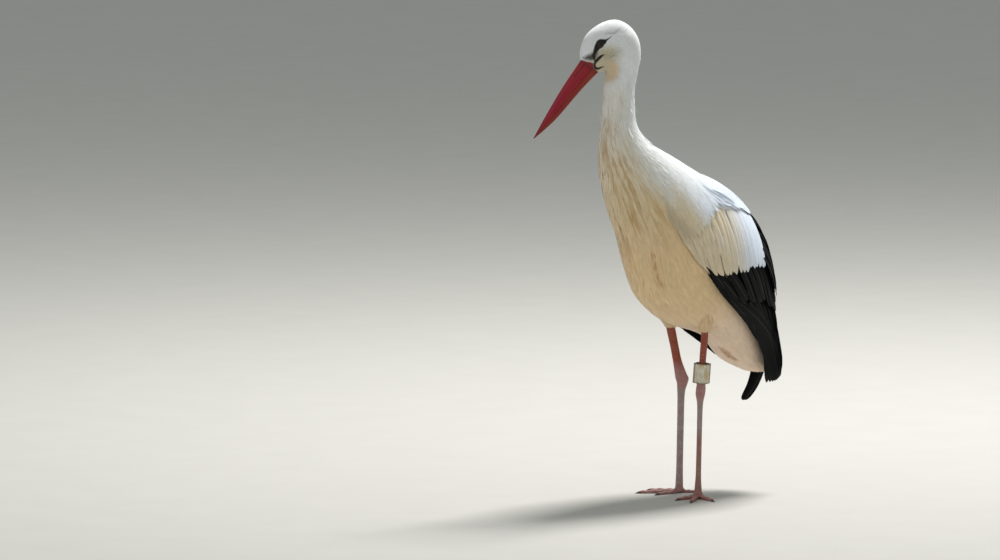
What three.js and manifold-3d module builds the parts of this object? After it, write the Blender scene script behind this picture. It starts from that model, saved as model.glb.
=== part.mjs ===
// An adult white stork at life size, standing at ease on both feet with its folded wings drooping.
// Millimetres. Before the last step the body's own frame has X towards the tail, Y to the bird's
// right, Z up and the floor at Z = 0; the last step centres the whole bird over the origin.
//
// The head, neck, trunk and tail are one loft. Each station of it is a slice that runs from the
// back line to the front line in the bird's middle plane, with a half width to either side. The
// folded wings are plates of a second loft, the mantle, which wraps the trunk from the back line
// down to the wings' lower edges and runs on to the wing tips.
import * as THREE from "three";
import { ParametricGeometry } from "three/addons/geometries/ParametricGeometry.js";
import { mergeVertices } from "three/addons/utils/BufferGeometryUtils.js";
import Module from "manifold-3d";

const wasm = await Module();
wasm.setup();
const { degToRad } = THREE.MathUtils;

// ---------------------------------------------------------------- driving dimensions

const GAP = 0.4; // between two solids that touch
const SIDES = { left: -1, right: 1 };

const NECK_AXIS_X = -178; // the upright line about which the head is turned
const HEAD_TURN = degToRad(33); // the head looks to the bird's right

const BODY_AROUND = 20; // facets round a slice of the body
const PLATE_ACROSS = 15; // facets across a wing's plate

// Slices of the head, from the bill's base over the crown to the throat. Each is measured forward
// of the neck's axis and up: its end on the forehead, crown or nape, and its end on the chin.
const HEAD_SLICES = [
  { name: "face", back: [72.5, 796.5], front: [40, 775.5], half: 14, power: 2, turn: 1 },
  { name: "forehead", back: [72.5, 817], front: [36.5, 776], half: 20, power: 2.1, turn: 1 },
  { name: "brow", back: [61.5, 842], front: [33, 776.5], half: 25, power: 2.2, turn: 1 },
  { name: "crown", back: [37, 861.5], front: [30, 777], half: 28, power: 2.2, turn: 1 },
  { name: "crown_top", back: [8, 868.5], front: [28, 777], half: 29, power: 2.2, turn: 1 },
  { name: "hind_crown", back: [-17, 856.5], front: [27, 775], half: 29, power: 2.2, turn: 1 },
  { name: "nape", back: [-33, 833], front: [27, 771], half: 28.5, power: 2.1, turn: 1 },
  { name: "nape_foot", back: [-37, 803], front: [27.5, 765], half: 27.5, power: 2, turn: 0.95 },
  { name: "throat", back: [-32, 776], front: [29, 754], half: 27.5, power: 2, turn: 0.8 },
];
// Slices of the neck, trunk and tail, in the body's own frame.
const TRUNK_SLICES = [
  { name: "upper_neck", back: [-152, 745], front: [-209, 735], half: 28, power: 2, turn: 0.5 },
  { name: "middle_neck", back: [-152, 712], front: [-212, 706], half: 29, power: 2, turn: 0.25 },
  { name: "lower_neck", back: [-149, 684], front: [-215, 678], half: 32, power: 2, turn: 0.08 },
  { name: "neck_root", back: [-134, 661], front: [-217, 646], half: 40, power: 2, turn: 0 },
  { name: "shoulder", back: [-104, 637], front: [-211, 610], half: 53, power: 2.1, turn: 0 },
  { name: "upper_breast", back: [-61, 611], front: [-199, 572], half: 66, power: 2.15, turn: 0 },
  { name: "breast", back: [-10, 580], front: [-181, 525], half: 78, power: 2.15, turn: 0 },
  { name: "middle", back: [44, 548], front: [-156, 471], half: 84, power: 2.15, turn: 0 },
  { name: "belly", back: [88, 505], front: [-136, 414], half: 87, power: 2.2, turn: 0 },
  { name: "lower_belly", back: [116, 456], front: [-108, 360], half: 86, power: 2.2, turn: 0 },
  { name: "hip", back: [131, 408], front: [-55, 318], half: 77, power: 2.2, turn: 0 },
  { name: "rump", back: [141, 367], front: [2, 292], half: 67, power: 2.2, turn: 0 },
  { name: "vent", back: [146, 325], front: [60, 262], half: 55, power: 2.3, turn: 0 },
  { name: "tail_root", back: [153, 288], front: [104, 234], half: 45, power: 2.4, turn: 0 },
  { name: "tail", back: [163, 257], front: [139, 219], half: 37, power: 2.6, turn: 0 },
  { name: "tail_tip", back: [175, 227], front: [163, 211], half: 30, power: 3, turn: 0 },
];
// Slices of the mantle: its ridge on the middle line of the back, the lower edge of the folded
// wing seen from the side, and the half width over both wings.
const MANTLE_SLICES = [
  { name: "shoulder", ridge: [-107, 640], edge: [-155, 580], half: 60 },
  { name: "wrist", ridge: [-59, 617], edge: [-142, 512], half: 80 },
  { name: "forearm", ridge: [-3, 589], edge: [-115, 449], half: 91 },
  { name: "coverts", ridge: [53, 566], edge: [-71, 395], half: 98 },
  { name: "elbow", ridge: [105, 532], edge: [-18, 350], half: 101 },
  { name: "tertials", ridge: [142, 485], edge: [37, 313], half: 97 },
  { name: "secondaries", ridge: [163, 427], edge: [88, 284], half: 87 },
  { name: "secondary_tips", ridge: [177, 365], edge: [128, 258], half: 78 },
  { name: "primaries", ridge: [189, 302], edge: [152, 234], half: 71 },
  { name: "primary_tips", ridge: [199, 246], edge: [167, 208], half: 65 },
  { name: "wing_tip", ridge: [201, 196], edge: [172, 182], half: 58 },
];
const MANTLE_POWER = 2.15;
const MANTLE_WRAP = degToRad(116); // how far a wing wraps round the body from the back's ridge
const MANTLE_RIDGE_GAP = degToRad(3); // each wing's edge stays this far from the middle line
const SHOULDER = [-120, 600]; // X and Z of the line about which a wing droops
// How each wing hangs. droop: its turn about the shoulder; tuck: the share of its width drawn in
// at the tip; curl: how far forward and down the tip's last feathers bend; fan: how far the tip's
// lower edge is spread forward; flank: the share of its wrap that lies under the flank's feathers,
// up to fade; closed: the share missing at the tip; lap: how much sooner the white shield ends at
// the lower edge; reach: how far the primaries run.
const WINGS = {
  left: {
    droop: 0, tuck: 0, curl: [0, 0], fan: 24, flank: 0.14, fade: 0.75, closed: 0, lap: 0.36,
    reach: 0.95,
  },
  right: {
    droop: degToRad(0.8), tuck: 0.5, curl: [-26, -20], fan: 0, flank: 0.06, fade: 0.5, closed: 0.4,
    lap: 0.28, reach: 0.97,
  },
};

// Where the body's loft is parted, as a share of its whole run of slices.
const SLICES = [...HEAD_SLICES, ...TRUNK_SLICES];
const station = (name) => SLICES.findIndex((s) => s.name === name) / (SLICES.length - 1);
const PARTING = 0.0035; // the share of the run left open at each cut

const EYE = { at: 2.62, around: 0.212, radius: 8, sunk: 4.6 }; // station number and turn of the slice

const BILL = {
  culmen: [[72.5, 796.5], [106, 748], [139, 693.5], [158, 659.5]],
  tomium: [[54, 785], [91, 739], [128, 694], [157.6, 659]],
  keel: [[40, 775.5], [72, 743], [118, 692], [157, 658.5]],
  base: 12.8, // half width at the base
  tip: 1.3, // half width at the tip
};

// Each leg: its parts' centres from the hip down to the toe joint, and the way its toes point.
const LEGS = {
  left: {
    hip: [-8, -42, 390], knee: [-2, -41, 300], ankle: [-3, -31, 188], toes: [-20, -42, 10],
    yaw: degToRad(-34),
  },
  right: {
    hip: [-22, 42, 390], knee: [-7, 40, 303], ankle: [13, 32, 203], toes: [10, 34, 10],
    yaw: degToRad(38),
  },
};
const BARE = 1.14; // the shin comes out of the thigh at this share of the way from hip to knee
const SHANK = { deep: 7.6, wide: 6 }; // half sizes of the bare shin, fore and aft and across
const ANKLE = { deep: 12, wide: 8.6, back: 2.5 };
const TARSUS = { deep: 6.1, wide: 4.5 };
// The toes: their lengths without the claws and their turns from the middle toe, in degrees.
const TOES = [
  { name: "middle", length: 70, turn: 0, radius: 4.6 },
  { name: "inner", length: 50, turn: 34, radius: 4.2 },
  { name: "outer", length: 58, turn: -36, radius: 4.3 },
  { name: "hind", length: 26, turn: 176, radius: 4 },
];
const CLAW = { length: 10, radius: 2.6, arch: 1.6 };
// How high a toe's or claw's middle lies, as a share of its half height; the rest is pressed flat.
const SOLE = { toe: 0.66, claw: 0.8 };
const WEB = { reach: 18, between: 14, thick: 2.2, lift: 1 };
const RING = {
  inner: 11.6, outer: 13.2, height: 36, lift: 18, turn: degToRad(-35),
  flange: { reach: 15.6, thick: 2.6 },
};

const FINISHES = {
  white: { color: 0xece8de, roughness: 0.8, metalness: 0 },
  black: { color: 0x15161a, roughness: 0.5, metalness: 0 },
  bill: { color: 0x96201c, roughness: 0.4, metalness: 0 },
  eye: { color: 0x0c0b0b, roughness: 0.1, metalness: 0 },
  leg: { color: 0xa85a4c, roughness: 0.6, metalness: 0 },
  claw: { color: 0x54423c, roughness: 0.5, metalness: 0 },
  ring: { color: 0xd8d5c4, roughness: 0.5, metalness: 0 },
};

// ---------------------------------------------------------------- solids and meshes

// The closed solid of a geometry: vertices merged, collapsed facets dropped, faces turned out.
function solidOf(geometry) {
  geometry.deleteAttribute("normal");
  geometry.deleteAttribute("uv");
  const merged = mergeVertices(geometry, 1e-3);
  const position = merged.getAttribute("position");
  const corners = [];
  for (let i = 0; i < merged.index.count; i += 3) {
    const [a, b, c] = [0, 1, 2].map((k) => merged.index.getX(i + k));
    if (a !== b && b !== c && a !== c) corners.push(a, b, c);
  }
  const points = [0, 1, 2].map(() => new THREE.Vector3());
  let volume = 0;
  for (let i = 0; i < corners.length; i += 3) {
    points.forEach((p, k) => p.fromBufferAttribute(position, corners[i + k]));
    volume += points[0].dot(points[1].cross(points[2]));
  }
  if (volume < 0) corners.reverse();
  return new wasm.Manifold(
    new wasm.Mesh({
      numProp: 3,
      vertProperties: new Float32Array(position.array),
      triVerts: new Uint32Array(corners),
    }),
  );
}

// A mesh of the largest body of a solid, under its node's name.
function meshOf(name, solid, finish) {
  const bodies = solid.decompose().sort((a, b) => b.volume() - a.volume());
  const mesh = bodies[0].getMesh();
  const geometry = new THREE.BufferGeometry()
    .setAttribute("position", new THREE.BufferAttribute(mesh.vertProperties, 3))
    .setIndex(new THREE.BufferAttribute(mesh.triVerts, 1));
  const made = new THREE.Mesh(geometry, new THREE.MeshStandardMaterial(FINISHES[finish]));
  made.name = name;
  return made;
}

// A closed loft. point(s, a, target) gives the skin at s from end to end and a from 0 to 1 round
// the slice, and each end is closed by a fan about the middle of its slice.
function loft(point, around, along) {
  const opposite = new THREE.Vector3();
  return solidOf(
    new ParametricGeometry(
      (a, v, target) => {
        const row = THREE.MathUtils.clamp(Math.round(v * along), 0, along);
        const s = THREE.MathUtils.clamp((row - 1) / (along - 2), 0, 1);
        if (row > 0 && row < along) return void point(s, a, target);
        point(s, 0, target);
        point(s, 0.5, opposite);
        target.lerp(opposite, 0.5);
      },
      around,
      along,
    ),
  );
}

const rounded = (value, power) => Math.sign(value) * Math.abs(value) ** (2 / power);

const splineOf = (pairs) => new THREE.SplineCurve(pairs.map(([x, y]) => new THREE.Vector2(x, y)));

// ---------------------------------------------------------------- the body's loft

const headToBody = ([forward, up]) => [NECK_AXIS_X - forward, up];
const isHead = (slice) => HEAD_SLICES.includes(slice);
const placed = (slice, end) => (isHead(slice) ? headToBody(slice[end]) : slice[end]);
const backLine = splineOf(SLICES.map((s) => placed(s, "back")));
const frontLine = splineOf(SLICES.map((s) => placed(s, "front")));
const girthLine = splineOf(SLICES.map((s) => [s.half, s.power]));
const turnLine = splineOf(SLICES.map((s, i) => [i, s.turn]));

// Turns a point about the neck's axis, towards the bird's right.
function turnHead(target, share) {
  const angle = HEAD_TURN * share;
  const [x, y] = [target.x - NECK_AXIS_X, target.y];
  target.x = NECK_AXIS_X + x * Math.cos(angle) + y * Math.sin(angle);
  target.y = -x * Math.sin(angle) + y * Math.cos(angle);
}

// The body's surface at share u of its run, a turn a of 0 to 1 round the slice from the back line
// by the bird's right, moved out by grow.
function bodyPoint(u, a, target, grow = 0) {
  const back = backLine.getPoint(u);
  const front = frontLine.getPoint(u);
  const girth = girthLine.getPoint(u);
  const middle = back.clone().add(front).multiplyScalar(0.5);
  const reach = back.clone().sub(middle);
  reach.setLength(reach.length() + grow);
  const angle = 2 * Math.PI * a;
  const out = rounded(Math.cos(angle), girth.y);
  const side = (girth.x + grow) * rounded(Math.sin(angle), girth.y);
  target.set(middle.x + reach.x * out, side, middle.y + reach.y * out);
  turnHead(target, turnLine.getPoint(u).y);
}

function bodyPart(from, to, along, grow = 0) {
  return loft((s, a, target) => bodyPoint(from + (to - from) * s, a, target, grow), BODY_AROUND, along);
}

// ---------------------------------------------------------------- head, bill and eyes

function headPoint(forward, side, up) {
  const target = new THREE.Vector3(NECK_AXIS_X - forward, side, up);
  turnHead(target, 1);
  return target;
}

function eyeSolid(side, grow = 0) {
  const surface = new THREE.Vector3();
  bodyPoint(EYE.at / (SLICES.length - 1), SIDES[side] > 0 ? EYE.around : 1 - EYE.around, surface);
  const inward = new THREE.Vector3(-Math.sin(HEAD_TURN), -Math.cos(HEAD_TURN), 0);
  surface.addScaledVector(inward, EYE.sunk * SIDES[side]);
  const ball = new THREE.SphereGeometry(EYE.radius + grow, 12, 8);
  return solidOf(ball.translate(surface.x, surface.y, surface.z));
}

// One half of the bill: a loft from its base to its tip, flat along the tomium where the halves
// meet and rounded towards the culmen or the keel.
function billHalf(ridge, closing) {
  const [ridgeLine, closingLine] = [splineOf(ridge), splineOf(closing)];
  return loft(
    (s, a, target) => {
      const [edge, shut] = [ridgeLine.getPoint(s), closingLine.getPoint(s)];
      const half = THREE.MathUtils.lerp(BILL.base, BILL.tip, s ** 0.85);
      const angle = 2 * Math.PI * a;
      const rise = Math.max(0, Math.cos(angle)) ** 0.8;
      const across = half * rounded(Math.sin(angle), 1.8);
      const f = THREE.MathUtils.lerp(shut.x, edge.x, rise);
      const z = THREE.MathUtils.lerp(shut.y, edge.y, rise);
      target.copy(headPoint(f, across, z));
    },
    12,
    9,
  );
}

// Moves the tomium a little towards the half that it closes, so that the halves stay apart.
const eased = (line, towards) =>
  line.map(([f, z], i) => {
    const [ef, ez] = towards[Math.min(i, towards.length - 1)];
    const share = GAP / Math.hypot(ef - f, ez - z);
    return [f + (ef - f) * share, z + (ez - z) * share];
  });

// ---------------------------------------------------------------- wings

const ridgeLine = splineOf(MANTLE_SLICES.map((s) => s.ridge));
const edgeLine = splineOf(MANTLE_SLICES.map((s) => s.edge));
const widthLine = splineOf(MANTLE_SLICES.map((s, i) => [i, s.half]));

// The mantle's surface on one side: u runs from the shoulder to the wing tip and t from the ridge
// of the back to the wing's lower edge, and depth is how far under the outer surface.
function mantlePoint(side, u, t, depth, target) {
  const { tuck, curl, fan } = WINGS[side];
  const droop = WINGS[side].droop * THREE.MathUtils.smoothstep(u, 0.05, 0.8);
  const bent = (Math.max(0, u - 0.85) / 0.15) ** 2;
  const ridge = ridgeLine.getPoint(u);
  const edge = edgeLine.getPoint(u);
  const angle = THREE.MathUtils.lerp(MANTLE_RIDGE_GAP, MANTLE_WRAP, t);
  const out = rounded(Math.cos(angle), MANTLE_POWER);
  const fall = (1 - out) / (1 - rounded(Math.cos(MANTLE_WRAP), MANTLE_POWER));
  const half = widthLine.getPoint(u).y * (1 - tuck * u ** 6);
  const up = ridge.clone().sub(edge).normalize();
  const rise = -depth * out;
  const x = THREE.MathUtils.lerp(ridge.x, edge.x, fall) + up.x * rise;
  const z = THREE.MathUtils.lerp(ridge.y, edge.y, fall) + up.y * rise;
  const across = (half - depth) * rounded(Math.sin(angle), MANTLE_POWER);
  const spread = fan * t ** 6 * THREE.MathUtils.smoothstep(u, 0.65, 0.95);
  const [dx, dz] = [x - spread - SHOULDER[0], z - SHOULDER[1]];
  target.set(
    SHOULDER[0] + dx * Math.cos(droop) + dz * Math.sin(droop) + curl[0] * bent,
    SIDES[side] * across,
    SHOULDER[1] - dx * Math.sin(droop) + dz * Math.cos(droop) + curl[1] * bent,
  );
}

// The share of a wing's wrap that is missing from its lower edge at u.
function hem({ flank, fade, closed }, u) {
  const { smoothstep } = THREE.MathUtils;
  return flank * smoothstep(fade - u, 0, 0.35) + closed * smoothstep(u, 0.6, 0.95);
}

// A plate of the mantle between the u that start(t) and end(t) give. Its outer and inner faces
// meet in an edge all round.
function wingPlate(side, { start, end, from = 0, depth, thick, along }) {
  return solidOf(
    new ParametricGeometry(
      (a, s, target) => {
        const outer = a <= 0.5;
        const share = outer ? 2 * a : 2 - 2 * a;
        const u = THREE.MathUtils.lerp(start(share), end(share, WINGS[side]), s);
        const t = THREE.MathUtils.lerp(from, 1 - hem(WINGS[side], u), share);
        const edge = Math.min(1, 4 * share, 4 * (1 - share), 6 * s, 6 * (1 - s));
        mantlePoint(side, u, t, depth + (outer ? 0 : thick * Math.max(0, edge)), target);
      },
      2 * PLATE_ACROSS,
      along,
    ),
  );
}

const scallops = (count, size) => (share) => size * Math.abs(Math.sin(Math.PI * count * share));

// The plates of a wing, from the outermost in: the white shield of coverts and scapulars, the
// black secondaries with the tertials, and the black primaries.
const shieldTips = scallops(5, 0.022);
const secondaryTips = scallops(5, 0.02);
const primaryTips = scallops(3, 0.04);
const WING_PLATES = {
  shield: {
    finish: "white", depth: 0, thick: 7, along: 9,
    start: () => 0, end: (t, { lap }) => 0.63 - lap * t ** 2.1 + shieldTips(t),
  },
  secondaries: {
    finish: "black", depth: 8.2, thick: 4, along: 7,
    start: () => 0.3, end: (t) => 0.72 - 0.28 * t ** 3.2 + secondaryTips(t),
  },
  primaries: {
    finish: "black", depth: 13.4, thick: 4, along: 8, from: 0.12,
    start: () => 0.42, end: (t, { reach }) => reach - 0.16 * (1 - t) ** 2 + primaryTips(t),
  },
};

// ---------------------------------------------------------------- legs, feet and ring

const vector = (point) => new THREE.Vector3(...point);
const between = (a, b, share) => a.map((value, i) => value + (b[i] - value) * share);
// A point of the limb moved back, away from the toes, by some millimetres.
const setBack = ([x, y, z], yaw, by) => [x + by * Math.cos(yaw), y - by * Math.sin(yaw), z];

// A limb along its centres, each with half sizes fore and aft and across, turned by yaw.
function limb(stations, yaw, grow, around, along) {
  const centres = new THREE.CatmullRomCurve3(stations.map((s) => vector(s.at)), false, "catmullrom", 0.5);
  const sizes = splineOf(stations.map((s) => [s.deep + grow, s.wide + grow]));
  return loft(
    (s, a, target) => {
      const centre = centres.getPoint(s);
      const size = sizes.getPoint(s);
      const angle = 2 * Math.PI * a;
      const [ahead, aside] = [size.x * Math.cos(angle), size.y * Math.sin(angle)];
      target.set(
        centre.x - ahead * Math.cos(yaw) + aside * Math.sin(yaw),
        centre.y + ahead * Math.sin(yaw) + aside * Math.cos(yaw),
        centre.z,
      );
    },
    around,
    along,
  );
}

// The feathered thigh, from inside the trunk down to where the bare shin begins.
function thighSolid({ hip, knee, yaw }, grow = 0) {
  const stations = [
    { at: hip, deep: 34, wide: 24 },
    { at: between(hip, knee, 0.45), deep: 27, wide: 19 },
    { at: between(hip, knee, 0.85), deep: 18, wide: 14 },
    { at: between(hip, knee, 1.02), deep: 11.5, wide: 9.5 },
    { at: between(hip, knee, BARE), deep: SHANK.deep, wide: SHANK.wide },
  ];
  return limb(stations, yaw, grow, 12, 9);
}

// The bare shin with the upper half of the ankle.
function shankSolid({ hip, knee, ankle, yaw }, grow = 0) {
  const { deep, wide, back } = ANKLE;
  const stations = [
    { at: between(hip, knee, BARE), deep: SHANK.deep - 2 * GAP, wide: SHANK.wide - 2 * GAP },
    { at: between(knee, ankle, 0.35), ...SHANK },
    { at: between(knee, ankle, 0.62), deep: SHANK.deep + 0.4, wide: SHANK.wide },
    { at: setBack(between(knee, ankle, 0.86), yaw, 0.6 * back), deep: deep - 1.4, wide: wide - 0.8 },
    { at: setBack(between(knee, ankle, 0.93), yaw, back), ...ANKLE },
    { at: setBack(ankle, yaw, 0.4 * back), deep: deep - 2, wide: wide - 0.2 },
  ];
  return limb(stations, yaw, grow, 12, 13);
}

// The tarsus, from the lower half of the ankle to the toes' joint.
function tarsusSolid({ ankle, toes, yaw }, grow = 0) {
  const { deep, wide, back } = ANKLE;
  const top = [ankle[0], ankle[1], ankle[2] - GAP];
  const stations = [
    { at: setBack(top, yaw, 0.4 * back), deep: deep - 2.2, wide: wide - 0.4 },
    { at: between(ankle, toes, 0.045), deep: deep - 3.4, wide: wide - 1.6 },
    { at: between(ankle, toes, 0.12), deep: TARSUS.deep + 0.5, wide: TARSUS.wide + 0.6 },
    { at: between(ankle, toes, 0.5), ...TARSUS },
    { at: between(ankle, toes, 0.86), deep: TARSUS.deep, wide: TARSUS.wide + 0.4 },
    { at: between(ankle, toes, 1), deep: TARSUS.deep + 1.6, wide: TARSUS.wide + 3.4 },
  ];
  return limb(stations, yaw, grow, 10, 14);
}

// The way a toe points, in the floor plane.
function toeWay(side, { yaw }, toe) {
  const turn = yaw - degToRad(toe.turn) * SIDES[side];
  return new THREE.Vector2(-Math.cos(turn), Math.sin(turn));
}

// A tapered digit that lies on the floor along a way from its start. Its half height at s is
// size(s), its middle is lifted by lift(s), and what would be under the floor is flat on it.
function digit(start, way, length, size, lift, around, along) {
  return loft(
    (s, a, target) => {
      const angle = 2 * Math.PI * a;
      const [reach, side] = [length * s, size(s) * Math.cos(angle)];
      const up = lift(s) + size(s) * Math.sin(angle);
      target.set(
        start.x + way.x * reach - way.y * side,
        start.y + way.y * reach + way.x * side,
        Math.max(0, up),
      );
    },
    around,
    along,
  );
}

function toeSolid(start, way, { length, radius }) {
  const size = (s) => radius * THREE.MathUtils.lerp(1.12, 0.72, s) * (1 + 0.1 * Math.cos(6 * Math.PI * s));
  return digit(start, way, length, size, (s) => SOLE.toe * size(s), 8, 9);
}

function clawSolid(start, way, toe) {
  const base = start.clone().addScaledVector(way, toe.length + GAP);
  const size = (s) => CLAW.radius * (1 - 0.82 * s ** 1.4);
  const lift = (s) => SOLE.claw * size(s) + CLAW.arch * (1 - s) * s;
  return digit(base, way, CLAW.length, size, lift, 6, 6);
}

// The skin stretched between two toes near the foot's joint.
function webSolid(start, wayA, wayB) {
  const middle = wayA.clone().add(wayB).normalize();
  const corner = (way, reach) => start.clone().addScaledVector(way, reach);
  const shape = new THREE.Shape([
    corner(middle, -2),
    corner(wayA, WEB.reach),
    corner(middle, WEB.between),
    corner(wayB, WEB.reach),
  ]);
  const skin = new THREE.ExtrudeGeometry(shape, { depth: WEB.thick, bevelEnabled: false });
  return solidOf(skin.translate(0, 0, WEB.lift));
}

// The ring on the left shin: two half shells that meet in a flange on either side.
function ringSolid({ knee, ankle }) {
  const { inner, outer, height, flange, lift, turn } = RING;
  const profile = [[inner, 0], [outer, 0], [outer, height], [inner, height], [inner, 0]];
  const wall = profile.map(([r, z]) => new THREE.Vector2(r, z));
  let ring = solidOf(new THREE.LatheGeometry(wall, 20).rotateX(Math.PI / 2));
  const wide = flange.reach - outer + 1;
  for (const way of [-1, 1]) {
    const lip = new THREE.BoxGeometry(wide, flange.thick, height);
    ring = ring.add(solidOf(lip.translate(way * (flange.reach - wide / 2), 0, height / 2)));
  }
  const upright = new THREE.Vector3(0, 0, 1);
  const up = vector(knee).sub(vector(ankle)).normalize();
  const lean = new THREE.Quaternion().setFromUnitVectors(upright, up);
  const spin = new THREE.Quaternion().setFromAxisAngle(upright, turn);
  const foot = vector(ankle).addScaledVector(up, lift);
  const place = new THREE.Matrix4().compose(foot, lean.multiply(spin), new THREE.Vector3(1, 1, 1));
  return ring.transform(place.toArray());
}

// ---------------------------------------------------------------- assembly

const bird = new THREE.Group();
const add = (name, solid, finish) => bird.add(meshOf(name, solid, finish));

const cuts = { head: station("throat"), neck: station("shoulder") - 0.01, vent: station("vent") };
const ROWS = { head: 16, neck: 12, trunk: 22, tail: 9 };

function addHead() {
  let skull = bodyPart(0, cuts.head, ROWS.head);
  for (const side of Object.keys(SIDES)) {
    skull = skull.subtract(eyeSolid(side, GAP));
    add("eye_" + side, eyeSolid(side), "eye");
  }
  add("head", skull, "white");
  const clear = bodyPart(0, cuts.head, ROWS.head, GAP);
  const upper = billHalf(BILL.culmen, eased(BILL.tomium, BILL.culmen));
  const lower = billHalf(BILL.keel, eased(BILL.tomium, BILL.keel));
  add("bill_upper", upper.subtract(clear), "bill");
  add("bill_lower", lower.subtract(clear), "bill");
}

function addFoot(side, leg) {
  const start = new THREE.Vector2(leg.toes[0], leg.toes[1]);
  const ways = TOES.map((toe) => toeWay(side, leg, toe));
  const [middle, inner, outer] = ways;
  const toes = TOES.map((toe, i) => toeSolid(start, ways[i], toe));
  const webs = [webSolid(start, middle, inner), webSolid(start, middle, outer)];
  const foot = [...toes, ...webs].reduce((a, b) => a.add(b));
  add("foot_" + side, foot.subtract(tarsusSolid(leg, GAP)), "leg");
  TOES.forEach((toe, i) => add(`claw_${side}_${toe.name}`, clawSolid(start, ways[i], toe), "claw"));
}

addHead();
add("neck", bodyPart(cuts.head + PARTING, cuts.neck, ROWS.neck), "white");
add("tail", bodyPart(cuts.vent + PARTING, 1, ROWS.tail), "white");

// What the legs and wings keep clear of.
const trunkClear = bodyPart(cuts.neck + PARTING / 2, cuts.vent + PARTING / 2, ROWS.trunk, 1.5 * GAP);
const tailClear = bodyPart(cuts.vent - PARTING, 1, ROWS.tail, GAP);
let trunk = bodyPart(cuts.neck + PARTING, cuts.vent, ROWS.trunk);
for (const [side, leg] of Object.entries(LEGS)) {
  const shinClear = shankSolid(leg, GAP);
  const thighClear = thighSolid(leg, GAP);
  trunk = trunk.subtract(shinClear);
  add("thigh_" + side, thighSolid(leg).subtract(trunkClear).subtract(shinClear), "white");
  add("shank_" + side, shankSolid(leg), "leg");
  add("tarsus_" + side, tarsusSolid(leg), "leg");
  addFoot(side, leg);
  for (const [name, plate] of Object.entries(WING_PLATES)) {
    const solid = wingPlate(side, plate).subtract(trunkClear).subtract(tailClear);
    add(`wing_${side}_${name}`, solid.subtract(thighClear), plate.finish);
  }
}
add("trunk", trunk, "white");
add("leg_ring", ringSolid(LEGS.left), "ring");

// The origin is on the floor under the middle of the bird's box.
const box = new THREE.Box3().setFromObject(bird);
bird.position.set(-(box.min.x + box.max.x) / 2, -(box.min.y + box.max.y) / 2, -box.min.z);

export default bird;
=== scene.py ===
"""Visual model of an adult white stork standing at ease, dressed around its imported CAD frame.

Shapes are worked out in design millimetres: X towards the tail, Y to the bird's right and Z up
from the floor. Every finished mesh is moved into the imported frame, in metres.
"""
import logging
import math
from collections.abc import Callable
from dataclasses import dataclass, field, replace
from enum import Enum

import bpy
import numpy as np
from mathutils import Matrix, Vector
from numpy.typing import NDArray


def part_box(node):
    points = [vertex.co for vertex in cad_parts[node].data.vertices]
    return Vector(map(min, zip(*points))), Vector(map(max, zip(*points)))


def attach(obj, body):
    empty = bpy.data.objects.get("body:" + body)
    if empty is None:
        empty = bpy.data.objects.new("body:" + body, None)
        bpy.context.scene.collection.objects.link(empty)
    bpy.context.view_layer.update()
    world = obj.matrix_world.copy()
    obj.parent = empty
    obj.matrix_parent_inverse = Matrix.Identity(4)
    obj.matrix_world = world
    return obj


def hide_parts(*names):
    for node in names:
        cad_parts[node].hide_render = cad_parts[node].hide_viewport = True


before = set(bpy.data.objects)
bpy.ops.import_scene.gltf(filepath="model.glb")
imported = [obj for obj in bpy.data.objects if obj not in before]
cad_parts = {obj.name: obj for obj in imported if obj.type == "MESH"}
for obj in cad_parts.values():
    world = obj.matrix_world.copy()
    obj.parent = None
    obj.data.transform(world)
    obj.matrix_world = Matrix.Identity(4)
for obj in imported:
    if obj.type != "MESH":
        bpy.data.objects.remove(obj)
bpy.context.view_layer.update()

Array = NDArray[np.float64]
Colour = tuple[float, float, float]
log = logging.getLogger("stork")

MM = 0.001
SEED = 20
BAKE_PATCH = 0.003  # how wide each feather's patch of the bake map is
HASH_PRIMES = (374761393, 668265263, 982451653, 1274126177)  # large primes that scramble a lattice place
PLASTIC_STEPS = (0.7548776662466927, 0.5698402909980532)  # 1 / g and 1 / g^2 for the plastic number g
SCALE_HASH = (12.9898, 78.233, 43758.5453)  # turns a scale's column and row into a number of its own
SCUTE_HASH = (91.7, 437.5)  # the same for a scute's place in its row
LEFT_EDGE, RIGHT_EDGE, ROOT_CAP, TIP_CAP = 1, 2, 4, 8  # bits of a vane's sharp edges


class Half(Enum):
    """A half of the bill."""

    UPPER = "upper"
    LOWER = "lower"


class Side(Enum):
    """A side of the bird, with the sign of Y there."""

    LEFT = -1
    RIGHT = 1

    @property
    def word(self) -> str:
        """The side's name in node and piece names."""
        return self.name.lower()


# ---------------------------------------------------------------- numbers and vectors


def unit(vectors: Array) -> Array:
    """Each vector divided by its length."""
    return vectors / np.maximum(np.linalg.norm(vectors, axis=-1, keepdims=True), 1e-9)


def dot(a: Array, b: Array) -> Array:
    """The inner product over the last axis."""
    return (a * b).sum(-1)


def ramp(x: Array, low: float, high: float) -> Array:
    """A smooth step of x: 0 at low, 1 at high and 3w^2 - 2w^3 between."""
    w = np.clip((np.asarray(x, float) - low) / (high - low), 0, 1)
    return w * w * (3 - 2 * w)


def rounded(value: Array, power: float | Array) -> Array:
    """A sine or cosine bent into a superellipse of that power, sign kept: |value|^(2 / power)."""
    return np.sign(value) * np.abs(value) ** (2 / power)


def blend(a: Array, b: Array, share: Array) -> Array:
    """a where share is 0 and b where it is 1, for arrays of vectors or colours."""
    share = np.asarray(share, float)[..., None]
    return np.asarray(a) * (1 - share) + np.asarray(b) * share


def painted(colour: Array | Colour, *coats: tuple[Array | Colour, Array]) -> Array:
    """A colour under coats of others, each a colour and the share that it covers."""
    for over, share in coats:
        colour = blend(colour, over, share)
    return colour


def read_off(x: Array, *rows: tuple[float, float]) -> Array:
    """The value at x, straight between rows of a place and its value."""
    return np.interp(x, *np.array(rows, float).T)


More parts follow.
